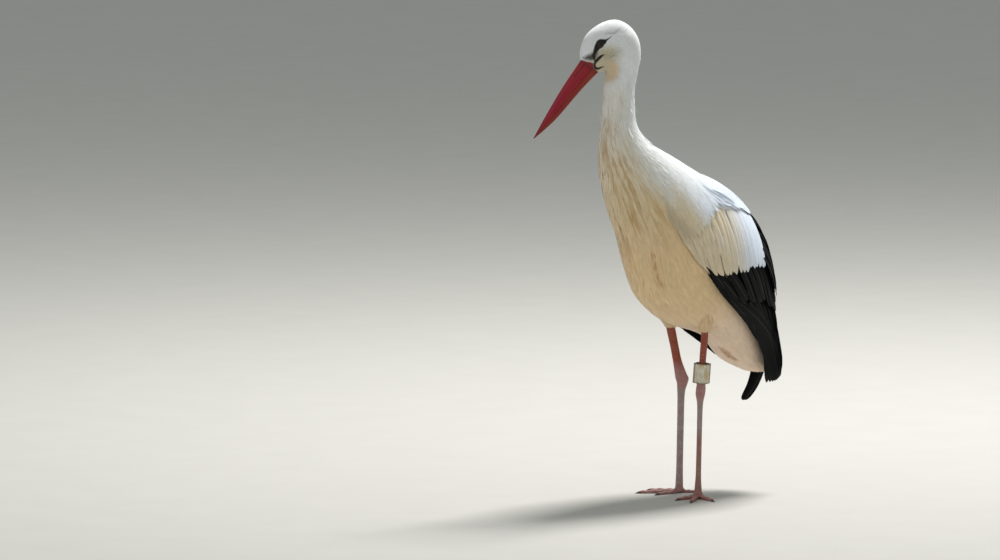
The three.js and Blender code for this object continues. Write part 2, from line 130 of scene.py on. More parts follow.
def turns(count: int) -> Array:
    """Evenly spaced angles round a circle, as one row."""
    return (np.arange(count) / count * 2 * np.pi)[None]


def even_places(count: int) -> tuple[Array, Array]:
    """Evenly spread places in the unit square, by the additive recurrence of the plastic number."""
    index = np.arange(count)
    return (0.5 + index * PLASTIC_STEPS[0]) % 1, (0.5 + index * PLASTIC_STEPS[1]) % 1


def swayed(flow: Array, normal: Array, angle: Array) -> Array:
    """Each way turned about its normal by an angle."""
    return flow * np.cos(angle)[:, None] + np.cross(normal, flow) * np.sin(angle)[:, None]


def catmull_rom(points: Array, t: Array) -> Array:
    """A uniform Catmull-Rom curve through points, carried straight on past its ends.

    Between two points it is the cubic whose end slopes are half the way between their neighbours.

    Args:
        points: The points to go through, one a row.
        t: Shares of the whole run, any shape.

    Returns:
        The curve's points, in t's shape with one more axis.
    """
    points = np.asarray(points, float)
    last = len(points) - 1
    inside = np.clip(np.asarray(t, float), 0, 1)
    i = np.minimum((inside * last).astype(int), last - 1)
    w = (inside * last - i)[..., None]
    p0, p1 = points[np.maximum(i - 1, 0)], points[i]
    p2, p3 = points[i + 1], points[np.minimum(i + 2, last)]
    v0, v1 = (p2 - p0) / 2, (p3 - p1) / 2
    value = (2 * p1 - 2 * p2 + v0 + v1) * w**3 + (3 * p2 - 3 * p1 - 2 * v0 - v1) * w**2 + v0 * w + p1
    over = (t - inside)[..., None]
    end = np.where(over > 0, points[last] - points[last - 1], points[1] - points[0])
    return value + over * end * last / 2


def lattice_noise(x: Array, y: Array, seed: int) -> Array:
    """Smooth noise from 0 to 1: hashed values on a unit lattice, blended by a smooth step.

    Args:
        x: Places across, in cells of the lattice.
        y: Places along, in cells.
        seed: Which noise.

    Returns:
        Values from 0 to 1.
    """
    xi, yi = np.floor(x).astype(np.int64), np.floor(y).astype(np.int64)
    fx, fy = ramp(x - xi, 0, 1), ramp(y - yi, 0, 1)

    def corner(dx: int, dy: int) -> Array:
        """The hashed value of one corner of the lattice cell."""
        across, along, seeded, mixed = HASH_PRIMES
        h = ((xi + dx) * across + (yi + dy) * along + seed * seeded) & 0xFFFFFFFF
        h = ((h ^ (h >> 13)) * mixed) & 0xFFFFFFFF
        return ((h ^ (h >> 16)) & 0xFFFF) / 65535.0

    low = corner(0, 0) * (1 - fx) + corner(1, 0) * fx
    high = corner(0, 1) * (1 - fx) + corner(1, 1) * fx
    return low * (1 - fy) + high * fy


def srgb(red: float, green: float, blue: float) -> Colour:
    """A screen colour, each channel from 0 to 1, as linear light."""
    return tuple(c / 12.92 if c <= 0.04045 else ((c + 0.055) / 1.055) ** 2.4 for c in (red, green, blue))


# ---------------------------------------------------------------- meshes


@dataclass
class MeshData:
    """A mesh in design millimetres, before Blender has it."""

    verts: Array
    quads: NDArray[np.int64]
    tris: NDArray[np.int64] = field(default_factory=lambda: np.zeros((0, 3), np.int64))
    uvs: dict[str, Array] = field(default_factory=dict)
    tint: Array | None = None
    rim: NDArray[np.int64] | None = None  # bits; an edge is sharp where both its ends share one

    @staticmethod
    def join(parts: list["MeshData"]) -> "MeshData":
        """All parts as one mesh; they carry the same maps.

        Args:
            parts: The meshes to join.

        Returns:
            The joined mesh.
        """
        starts = np.cumsum([0] + [len(p.verts) for p in parts[:-1]])
        whole = MeshData(
            np.concatenate([p.verts for p in parts]),
            np.concatenate([p.quads + s for p, s in zip(parts, starts)]),
            np.concatenate([p.tris + s for p, s in zip(parts, starts)]),
        )
        whole.uvs = {k: np.concatenate([p.uvs[k] for p in parts]) for k in parts[0].uvs}
        if parts[0].tint is not None:
            whole.tint = np.concatenate([p.tint for p in parts])
        if parts[0].rim is not None:
            whole.rim = np.concatenate([p.rim for p in parts])
        return whole


def add_object(
    name: str, data: bpy.types.ID, axes: tuple[Array, Array, Array] | None = None, at: Array | None = None
) -> bpy.types.Object:
    """A Blender object of some data, linked to the scene.

    Args:
        name: The object's name.
        data: Its mesh, light or camera.
        axes: Its right, up and back, or None for an object that stays unturned.
        at: Its place, in metres, where it has axes.

    Returns:
        The object.
    """
    item = bpy.data.objects.new(name, data)
    if axes is not None:
        matrix = np.eye(4)
        matrix[:3, :3], matrix[:3, 3] = np.stack(axes, -1), at
        item.matrix_world = Matrix(matrix.tolist())
    bpy.context.scene.collection.objects.link(item)
    return item


def make_piece(
    name: str, data: MeshData, material: bpy.types.Material, nodes: tuple[str, ...] = ()
) -> bpy.types.Object:
    """A Blender object of a mesh, riding on the frame, with its finish and what it stands for.

    Args:
        name: The piece's name.
        data: Its mesh, in design millimetres.
        material: Its material.
        nodes: The CAD nodes that it replaces.

    Returns:
        The object.
    """
    mesh = bpy.data.meshes.new(name)
    loops = np.concatenate([data.quads.ravel(), data.tris.ravel()]).astype(np.int32)
    quads, tris = len(data.quads), len(data.tris)
    starts = np.concatenate([np.arange(quads) * 4, quads * 4 + np.arange(tris) * 3])
    mesh.vertices.add(len(data.verts))
    mesh.vertices.foreach_set("co", STATION.to_frame(data.verts).astype(np.float32).ravel())
    mesh.loops.add(len(loops))
    mesh.loops.foreach_set("vertex_index", loops)
    mesh.polygons.add(quads + tris)
    mesh.polygons.foreach_set("loop_start", starts.astype(np.int32))
    mesh.update(calc_edges=True)
    mesh.polygons.foreach_set("use_smooth", np.ones(quads + tris, bool))
    for label, uv in data.uvs.items():
        layer = mesh.uv_layers.new(name=label)
        layer.data.foreach_set("uv", uv[loops].astype(np.float32).ravel())
    if data.tint is not None:
        rgba = np.concatenate([data.tint, np.ones((len(data.tint), 1))], 1).astype(np.float32)
        mesh.attributes.new("tint", "FLOAT_COLOR", "POINT").data.foreach_set("color", rgba.ravel())
    if data.rim is not None:
        ends = np.zeros(len(mesh.edges) * 2, np.int32)
        mesh.edges.foreach_get("vertices", ends)
        marks = data.rim[ends.reshape(-1, 2)]
        sharp = (marks[:, 0] & marks[:, 1]) > 0
        mesh.attributes.new("sharp_edge", "BOOLEAN", "EDGE").data.foreach_set("value", sharp)
    mesh.validate()
    mesh.materials.append(material)
    piece = add_object(name, mesh)
    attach(piece, "root")
    if nodes:
        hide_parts(*nodes)
    log.info("%s: %d faces", name, quads + tris)
    return piece


def closed_tube(rings: Array, tint: Array | None = None) -> MeshData:
    """A closed skin through rings of points, each end closed by a fan about its ring's middle.

    Args:
        rings: Points in rings along the tube and round it, without the seam repeated.
        tint: A colour for each ring point, or None.

    Returns:
        The mesh, faces outward where each ring runs left-handed about the way along.
    """
    rows, around = rings.shape[:2]
    verts = np.concatenate([rings.reshape(-1, 3), rings[:1].mean(1), rings[-1:].mean(1)])
    row, col = np.meshgrid(np.arange(rows - 1), np.arange(around), indexing="ij")
    after = (col + 1) % around
    quads = np.stack(
        [row * around + col, row * around + after, (row + 1) * around + after, (row + 1) * around + col], -1
    ).reshape(-1, 4)
    ring = np.arange(around)
    after = (ring + 1) % around
    top = (rows - 1) * around
    first = np.stack([after, ring, np.full(around, rows * around)], -1)
    last = np.stack([top + ring, top + after, np.full(around, rows * around + 1)], -1)
    data = MeshData(verts, quads, np.concatenate([first, last]))
    if tint is not None:
        ends = np.stack([tint[0].mean(0), tint[-1].mean(0)])
        data.tint = np.concatenate([tint.reshape(-1, 3), ends])
    return outward(data)


def shell_between(top: Array, bottom: Array, tint: Array | None = None) -> MeshData:
    """A closed plate between two sheets of points on one grid, joined all round the edge.

    Args:
        top: The upper sheet's grid of points.
        bottom: The lower sheet's grid of points.
        tint: A colour for each grid point, or None.

    Returns:
        The mesh.
    """
    rows, cols = top.shape[:2]
    row, col = np.meshgrid(np.arange(rows - 1), np.arange(cols - 1), indexing="ij")
    a = (row * cols + col).ravel()
    sheet = np.stack([a, a + 1, a + cols + 1, a + cols], -1)
    under = sheet[:, ::-1] + rows * cols
    index = np.arange(rows * cols).reshape(rows, cols)
    edge = np.concatenate([index[0, :-1], index[:-1, -1], index[-1, :0:-1], index[:0:-1, 0]])
    after = np.roll(edge, -1)
    wall = np.stack([after, edge, edge + rows * cols, after + rows * cols], -1)
    data = MeshData(
        np.concatenate([top.reshape(-1, 3), bottom.reshape(-1, 3)]), np.concatenate([sheet, under, wall])
    )
    if tint is not None:
        data.tint = np.tile(tint.reshape(-1, 3), (2, 1))
    return outward(data)


def outward(data: MeshData) -> MeshData:
    """The same closed mesh with its faces turned out, judged by the sign of its volume.

    Args:
        data: A closed mesh.

    Returns:
        That mesh.
    """
    middle = data.verts.mean(0)
    volume = 0.0
    for faces in (data.quads[:, :3], data.quads[:, [0, 2, 3]], data.tris):
        a, b, c = (data.verts[faces[:, k]] - middle for k in range(3))
        volume += dot(a, np.cross(b, c)).sum()
    if volume < 0:
        data.quads, data.tris = data.quads[:, ::-1], data.tris[:, ::-1]
    return data


# ---------------------------------------------------------------- shaders


class Value:
    """A shader socket whose arithmetic adds Math nodes."""

    def __init__(self, graph: "Graph", socket: bpy.types.NodeSocket) -> None:
        """Wraps a socket of a graph."""
        self.graph = graph
        self.socket = socket

    def maths(self, operation: str, *others: "Value | float") -> "Value":
        """A Math node of this value and others."""
        inputs = {i: v for i, v in enumerate((self, *others))}
        return self.graph.node("ShaderNodeMath", {"operation": operation}, inputs)

    def __add__(self, other: "Value | float") -> "Value":
        """The sum."""
        return self.maths("ADD", other)

    __radd__ = __add__

    def __sub__(self, other: "Value | float") -> "Value":
        """The difference."""
        return self.maths("SUBTRACT", other)

    def __rsub__(self, other: float) -> "Value":
        """The difference, from a number."""
        return (self * -1.0) + other

    def __mul__(self, other: "Value | float") -> "Value":
        """The product."""
        return self.maths("MULTIPLY", other)

    def __abs__(self) -> "Value":
        """The value without its sign."""
        return self.maths("ABSOLUTE")

    def ramp(self, low: float, high: float) -> "Value":
        """A smooth step from 0 at low to 1 at high."""
        settings = {"interpolation_type": "SMOOTHSTEP"}
        return self.graph.node("ShaderNodeMapRange", settings, {0: self, 1: low, 2: high})


class Graph:
    """A material's node tree around one Principled shader."""

    def __init__(self, name: str) -> None:
        """Starts an empty material with its output linked.

        Args:
            name: The material's name.
        """
        self.material = bpy.data.materials.new(name)
        self.material.use_nodes = True
        self.tree = self.material.node_tree
        self.tree.nodes.clear()
        self.shader = self.tree.nodes.new("ShaderNodeBsdfPrincipled")
        output = self.tree.nodes.new("ShaderNodeOutputMaterial")
        self.tree.links.new(self.shader.outputs[0], output.inputs[0])

    def plug(self, socket: bpy.types.NodeSocket, value: "Value | float | tuple") -> None:
        """Links a value to a socket, or sets the socket to a number or colour."""
        if isinstance(value, Value):
            self.tree.links.new(value.socket, socket)
        elif isinstance(value, (tuple, list, np.ndarray)):
            room = len(socket.default_value)
            socket.default_value = tuple(float(v) for v in value)[:room] + (1.0,) * (room - len(value))
        else:
            socket.default_value = value

    def node(
        self, kind: str, settings: dict | None = None, inputs: dict | None = None, out: int | str = 0
    ) -> Value:
        """A node of any kind.

        Args:
            kind: The node's type.
            settings: Its properties, set first.
            inputs: Values or links by socket index or name.
            out: The output to return.

        Returns:
            That output.
        """
        node = self.tree.nodes.new(kind)
        for key, value in (settings or {}).items():
            setattr(node, key, value)
        for key, value in (inputs or {}).items():
            self.plug(node.inputs[key], value)
        return Value(self, node.outputs[out])

    def mix(self, share: "Value | float", a: "Value | Array", b: "Value | Array", how: str = "MIX") -> Value:
        """Two colours mixed by share."""
        settings = {"data_type": "RGBA", "blend_type": how}
        return self.node("ShaderNodeMix", settings, {0: share, 6: a, 7: b}, 2)

    def place(self) -> Value:
        """The Object coordinates, in metres."""
        return self.node("ShaderNodeTexCoord", out="Object")

    def tint(self) -> Value:
        """The mesh's own colours."""
        return self.node("ShaderNodeAttribute", {"attribute_name": "tint"}, out="Color")

    def vane(self) -> tuple[Value, Value]:
        """Where on its vane a point is: across from 0 to 1, and along from base to tip.

        Returns:
            The place across and the place along.
        """
        uv = self.node("ShaderNodeUVMap", {"uv_map": "vane"})
        split = self.node("ShaderNodeSeparateXYZ", None, {0: uv})
        return split, Value(self, split.socket.node.outputs[1])

    def stretched(self, scale: tuple[float, float, float]) -> Value:
        """The Object coordinates stretched along each axis."""
        return self.node("ShaderNodeMapping", None, {"Vector": self.place(), "Scale": scale})

    def noise(self, vector: Value, scale: float, detail: float = 2.0) -> Value:
        """Fractal noise from 0 to 1 over a vector."""
        return self.node("ShaderNodeTexNoise", None, {"Vector": vector, "Scale": scale, "Detail": detail})

    def cells(self, vector: Value, scale: float) -> Value:
        """The distance to the nearest cell wall of a Voronoi pattern."""
        settings = {"feature": "DISTANCE_TO_EDGE"}
        return self.node("ShaderNodeTexVoronoi", settings, {"Vector": vector, "Scale": scale})

    def bump(self, height: Value, depth: float, strength: float = 1.0) -> Value:
        """A normal bent by a height of 0 to 1 that stands for a depth in metres."""
        inputs = {"Strength": strength, "Distance": depth, "Height": height}
        return self.node("ShaderNodeBump", None, inputs)

    def done(self, **sockets: "Value | float | tuple") -> bpy.types.Material:
        """Sets the shader's sockets, named with _ for a space, and gives the material back."""
        for key, value in sockets.items():
            self.plug(self.shader.inputs[key.replace("_", " ")], value)
        return self.material


# ---------------------------------------------------------------- the bird's forms


class Surface:
    """A skin given by two parameters, p along the lie of the feathers and q across it."""

    def point(self, p: Array, q: Array, grow: Array | float = 0.0) -> Array:
        """The skin's points, moved out by grow."""
        raise NotImplementedError

    def frame(self, p: Array, q: Array) -> tuple[Array, Array, Array, Array]:
        """The skin's points with its local axes, by central differences.

        Args:
            p: Places along the skin.
            q: Places across it.

        Returns:
            Points, the change with p, the change with q, and outward normals of length 1.
        """
        step = 4e-3
        at = self.point(p, q)
        along = (self.point(p + step, q) - self.point(p - step, q)) / (2 * step)
        across = (self.point(p, q + step) - self.point(p, q - step)) / (2 * step)
        normal = unit(np.cross(along, across))
        out = np.sign(dot(normal, self.point(p, q, 2.0) - at))  # towards the skin grown by 2 mm
        return at, along, across, normal * out[..., None]

    def lay(self, p: Array, q: Array, flow: Array, length: Array, shares: Array) -> tuple[Array, Array]:
        """Paths over the skin from their roots: flow is turned into steps of p and q there.

        Args:
            p: The roots' places along the skin.
            q: The roots' places across it.
            flow: The way each path sets off.
            length: Each path's length.
            shares: Where along each path its points lie.

        Returns:
            The paths' places along and across, one row a path.
        """
        _, along, across, normal = self.frame(p, q)
        flow = unit(flow - normal * dot(flow, normal)[:, None])
        e, f, g = dot(along, along), dot(along, across), dot(across, across)
        b1, b2 = dot(flow, along), dot(flow, across)
        scale = length / np.maximum(e * g - f * f, 1e-3)
        dp, dq = (g * b1 - f * b2) * scale, (e * b2 - f * b1) * scale
        return p[:, None] + dp[:, None] * shares, q[:, None] + dq[:, None] * shares


@dataclass
class BodyForm(Surface):
    """Head, neck, trunk and tail as one run of slices from the back line to the front line."""

    neck_axis: float = -178.0
    head_turn: float = math.radians(33)
    head: tuple = (
        ("face", 72.5, 796.5, 40, 775.5, 14, 2, 1), ("forehead", 72.5, 817, 36.5, 776, 20, 2.1, 1),
        ("brow", 61.5, 842, 33, 776.5, 25, 2.2, 1), ("crown", 37, 861.5, 30, 777, 28, 2.2, 1),
        ("crown_top", 8, 868.5, 28, 777, 29, 2.2, 1), ("hind_crown", -17, 856.5, 27, 775, 29, 2.2, 1),
        ("nape", -33, 833, 27, 771, 28.5, 2.1, 1), ("nape_foot", -37, 803, 27.5, 765, 27.5, 2, 0.95),
        ("throat", -32, 776, 29, 754, 27.5, 2, 0.8),
    )
    trunk: tuple = (
        ("upper_neck", -152, 745, -209, 735, 28, 2, 0.5), ("middle_neck", -152, 712, -212, 706, 29, 2, 0.25),
        ("lower_neck", -149, 684, -215, 678, 32, 2, 0.08), ("neck_root", -134, 661, -217, 646, 40, 2, 0),
        ("shoulder", -104, 637, -211, 610, 53, 2.1, 0), ("upper_breast", -61, 611, -199, 572, 66, 2.15, 0),
        ("breast", -10, 580, -181, 525, 78, 2.15, 0), ("middle", 44, 548, -156, 471, 84, 2.15, 0),
        ("belly", 88, 505, -136, 414, 87, 2.2, 0), ("lower_belly", 116, 456, -108, 360, 86, 2.2, 0),
        ("hip", 131, 408, -55, 318, 77, 2.2, 0), ("rump", 141, 367, 2, 292, 67, 2.2, 0),
        ("vent", 146, 325, 60, 262, 55, 2.3, 0), ("tail_root", 153, 288, 104, 234, 45, 2.4, 0),
        ("tail", 163, 257, 139, 219, 37, 2.6, 0), ("tail_tip", 175, 227, 163, 211, 30, 3, 0),
    )

    # modelling on the sides of the head: forward, up, reach along, reach up, height
    bumps: tuple = (
        (19, 847, 15, 2.6, -1.1), (-10, 838, 9, 8, 1.1), (30, 805, 13, 9, 0.9), (58, 806, 7, 6, -0.8),
        (38, 848, 12, 5, 0.7),
    )
    # hollows of the trunk: place along, place round, reaches, depth
    dents: tuple = ((0.850, 0.42, 0.034, 0.13, 16.0), (0.705, 0.572, 0.022, 0.012, 2.5))

    def __post_init__(self) -> None:
        """Gathers the slices into the curves of the loft."""
        axis = self.neck_axis
        rows = [(n, axis - bf, bz, axis - ff, fz, *rest) for n, bf, bz, ff, fz, *rest in self.head]
        rows += list(self.trunk)
        self.names = [row[0] for row in rows]
        self.curves = np.array([row[1:] for row in rows], float)

    def station(self, name: str | float, share: float = 0.0) -> float:
        """Where a slice lies on the run, moved on by a share of the way to the next."""
        return (self.names.index(name) + share) / (len(self.names) - 1)

    def by_station(self, u: Array, table: dict[str, float]) -> Array:
        """Values given at named slices, read off straight between them."""
        return np.interp(u, [self.station(n) for n in table], list(table.values()))

    def point(self, p: Array, q: Array, grow: Array | float = 0.0) -> Array:
        """The skin: a slice's middle, plus its half reach by the rounded cosine of q's turn, plus
        its half width by the rounded sine, and then the head's turn about the neck's axis.

        Args:
            p: Shares of the run.
            q: Turns round the slices.
            grow: How far outside it, in millimetres.

        Returns:
            The points, in design millimetres.
        """
        bx, bz, fx, fz, half, power, turn = np.moveaxis(catmull_rom(self.curves, p), -1, 0)
        for at, around, long, wide, depth in self.dents:
            grow = grow - depth * np.exp(-(((p - at) / long) ** 2) - ((q % 1 - around) / wide) ** 2)
        mx, mz, rx, rz = (bx + fx) / 2, (bz + fz) / 2, (bx - fx) / 2, (bz - fz) / 2
        reach = np.hypot(rx, rz)
        scale = (reach + grow) / reach
        angle = 2 * np.pi * q
        out = rounded(np.cos(angle), power) * scale
        x, y, z = mx + rx * out, (half + grow) * rounded(np.sin(angle), power), mz + rz * out
        for forward, up, long, tall, height in self.bumps:
            near = ((self.neck_axis - x - forward) / long) ** 2 + ((z - up) / tall) ** 2
            y = y + np.tanh(y / 5) * height * np.exp(-near)
        return self.turned(x, y, z, self.head_turn * turn)

    def turned(self, x: Array, y: Array, z: Array, angle: Array | float) -> Array:
        """Points turned about the neck's axis, towards the bird's right.

        Args:
            x: Where the points are along X.
            y: Where they are along Y.
            z: Their heights.
            angle: How far they turn, in radians.

        Returns:
            The turned points.
        """
        x = x - self.neck_axis
        cos, sin = np.cos(angle), np.sin(angle)
        return np.stack([self.neck_axis + x * cos + y * sin, y * cos - x * sin, z], -1)

    def from_head(self, forward: Array, side: Array, up: Array) -> Array:
        """A point given forward of the neck's axis, to the right and up, in the turned head."""
        forward, side, up = np.broadcast_arrays(*(np.asarray(v, float) for v in (forward, side, up)))
        return self.turned(self.neck_axis - forward, side, up, self.head_turn)

    def to_head(self, points: Array) -> tuple[Array, Array, Array]:
        """How far forward, to the right and up points are in the turned head.

        Args:
            points: Places, in design millimetres.

        Returns:
            How far forward, how far to the right, and how far up.
        """
        x, y = points[..., 0] - self.neck_axis, points[..., 1]
        cos, sin = math.cos(self.head_turn), math.sin(self.head_turn)
        return y * sin - x * cos, x * sin + y * cos, points[..., 2]


BODY = BodyForm()


@dataclass
class Station:
    """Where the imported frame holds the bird, read off its left eye."""

    eye_at: float = 2.62  # in slices from the face
    eye_round: float = 0.212  # in turns round the slice
    eye_sunk: float = 4.6  # how far the eyeball's middle lies inside the skin

    def eye_centre(self, side: Side) -> Array:
        """The middle of an eyeball: the skin beside it, moved in along the head's width.

        Args:
            side: Which eye.

        Returns:
            The place, in design millimetres.
        """
        turn = self.eye_round if side is Side.RIGHT else 1 - self.eye_round
        at = BODY.point(np.array(self.eye_at / (len(BODY.names) - 1)), np.array(turn))
        inward = np.array([-math.sin(BODY.head_turn), -math.cos(BODY.head_turn), 0])
        return at + inward * self.eye_sunk * side.value

    def __post_init__(self) -> None:
        """Finds the way from design millimetres to the frame."""
        low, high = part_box("eye_left")
        self.shift = np.array((low + high) / 2) / MM - self.eye_centre(Side.LEFT)
        self.shift[2] = 0.0

    def to_frame(self, points: Array) -> Array:
        """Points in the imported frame, in metres."""
        return (points + self.shift) * MM


STATION = Station()


@dataclass
class WingForm(Surface):
    """A folded wing's outer surface: p from the shoulder to the tip, q from ridge to lower edge."""

    side: Side
    droop: float  # how far the whole wing turns down about the shoulder
    tuck: float  # how much of its half width the tip loses
    curl: tuple[float, float]  # how far the last of the tip moves along X and Z
    fan: float  # how far the lower edge fans out forward near the tip
    lap: float  # how much sooner the long coverts end at the lower edge
    hems: tuple  # rows of a place along and the largest q that shows there
    ridge: tuple = (
        (-107, 640), (-59, 617), (-3, 589), (53, 566), (105, 532), (142, 485), (163, 427), (177, 365),
        (189, 302), (199, 246), (201, 196),
    )
    edge: tuple = (
        (-155, 580), (-142, 512), (-115, 449), (-71, 395), (-18, 350), (37, 313), (88, 284), (128, 258),
        (152, 234), (167, 208), (172, 182),
    )
    half: tuple = (60, 80, 91, 98, 101, 97, 87, 78, 71, 65, 58)
    power: float = 2.15
    wrap: float = math.radians(116)
    gap: float = math.radians(3)
    shoulder: tuple[float, float] = (-120, 600)
    # rows of a place across and where something ends there along the wing
    mantle_line: tuple = (
        (0, 0.43), (0.31, 0.42), (0.345, 0.37), (0.437, 0.30), (0.487, 0.25), (0.62, 0.24), (1, 0.22),
    )
    white_line: tuple = ((0, 0.43), (0.31, 0.42), (0.40, 0.464), (0.49, 0.49), (0.57, 0.53), (0.62, 0.9))

    def point(self, p: Array, q: Array, grow: Array | float = 0.0) -> Array:
        """The surface: q turns from the ridge round the body by a superellipse between the ridge
        line and the edge line, and the whole droops about the shoulder and curls at the tip.

        Args:
            p: Places along the wing.
            q: Places across it.
            grow: How far outside it, in millimetres.

        Returns:
            The points, in design millimetres.
        """
        p, q = np.broadcast_arrays(np.asarray(p, float), np.asarray(q, float))
        ridge, edge = catmull_rom(np.array(self.ridge), p), catmull_rom(np.array(self.edge), p)
        half = catmull_rom(np.array(self.half, float)[:, None], p)[..., 0]
        half = half * (1 - self.tuck * np.clip(p, 0, 1.05) ** 6)
        angle = self.gap + (self.wrap - self.gap) * q
        out = rounded(np.cos(angle), self.power)
        fall = (1 - out) / (1 - float(rounded(np.array(math.cos(self.wrap)), self.power)))
        up = unit(ridge - edge)
        flat = ridge + (edge - ridge) * fall[..., None] + up * (grow * out)[..., None]
        across = (half + grow) * rounded(np.sin(angle), self.power)
        flat = flat - np.stack([self.fan * np.abs(q) ** 6 * ramp(p, 0.65, 0.95), 0 * p], -1)
        bent = (np.clip(p - 0.85, 0, 0.2) / 0.15) ** 2
        turn = self.droop * ramp(p, 0.05, 0.8)
        dx, dz = flat[..., 0] - self.shoulder[0], flat[..., 1] - self.shoulder[1]
        x = self.shoulder[0] + dx * np.cos(turn) + dz * np.sin(turn) + self.curl[0] * bent
        z = self.shoulder[1] - dx * np.sin(turn) + dz * np.cos(turn) + self.curl[1] * bent
        return np.stack([x, self.side.value * across, z], -1)

    def shield_end(self, q: Array) -> Array:
        """Where the long coverts end: sooner towards the lower edge, by lap q^2.1."""
        return 0.625 - self.lap * np.clip(q, 0, 1) ** 2.1

    def mantle_end(self, q: Array) -> Array:
        """Where the small feathers end: a ragged line that falls forward from the back."""
        return read_off(q, *self.mantle_line)

    def white_end(self, q: Array) -> Array:
        """Where the white ends: the mantle near the back, then the long coverts."""
        return np.minimum(self.shield_end(q), read_off(q, *self.white_line))

    def tucked(self, p: Array, q: Array) -> Array:
        """How far feathers near the hem sink towards the flank: up to 9 mm over the last tenth."""
        near = ramp(q, self.hem(p) - 0.12, self.hem(p))
        return 9.0 * near**1.5 * (1 - ramp(p, 0.5, 0.7))

    def hem(self, p: Array) -> Array:
        """The largest q that shows at p: the rest is under the flank, or missing at the tip."""
        return read_off(p, *self.hems)


WINGS = {
    Side.LEFT: WingForm(
        Side.LEFT, 0, 0, (0, 0), 24, 0.385,
        ((0, 0.95), (0.06, 0.95), (0.16, 0.885), (0.27, 0.885), (0.315, 0.882), (0.35, 0.911),
         (0.394, 0.93), (0.5, 0.943), (0.55, 0.945), (0.626, 0.972), (0.693, 1.02), (0.8, 1.04)),
    ),
    Side.RIGHT: WingForm(
        Side.RIGHT, math.radians(0.8), 0.5, (-26, -20), 0, 0.32,
        ((0, 0.92), (0.5, 0.92), (0.56, 1.01), (0.68, 1.0), (0.78, 0.85), (0.88, 0.45), (0.95, 0.3),
         (1.0, 0.25)),
    ),
}


@dataclass
class LimbForm(Surface):
    """A leg along its centres: each station is x, y, z, half depth and half width."""

    stations: tuple
    yaw: float

    def point(self, p: Array, q: Array, grow: Array | float = 0.0) -> Array:
        """An ellipse about the centre line at p, turned so that its depth lies along the toes.

        Args:
            p: Shares of the way down.
            q: Turns round the leg.
            grow: How far outside it, in millimetres.

        Returns:
            The points, in design millimetres.
        """
        p, q = np.broadcast_arrays(np.asarray(p, float), np.asarray(q, float))
        x, y, z, deep, wide = np.moveaxis(catmull_rom(np.array(self.stations, float), p), -1, 0)
        angle = 2 * np.pi * q
        ahead, aside = (deep + grow) * np.cos(angle), (wide + grow) * np.sin(angle)
        cos, sin = math.cos(self.yaw), math.sin(self.yaw)
        return np.stack([x - ahead * cos + aside * sin, y + ahead * sin + aside * cos, z], -1)


# ---------------------------------------------------------------- feathers


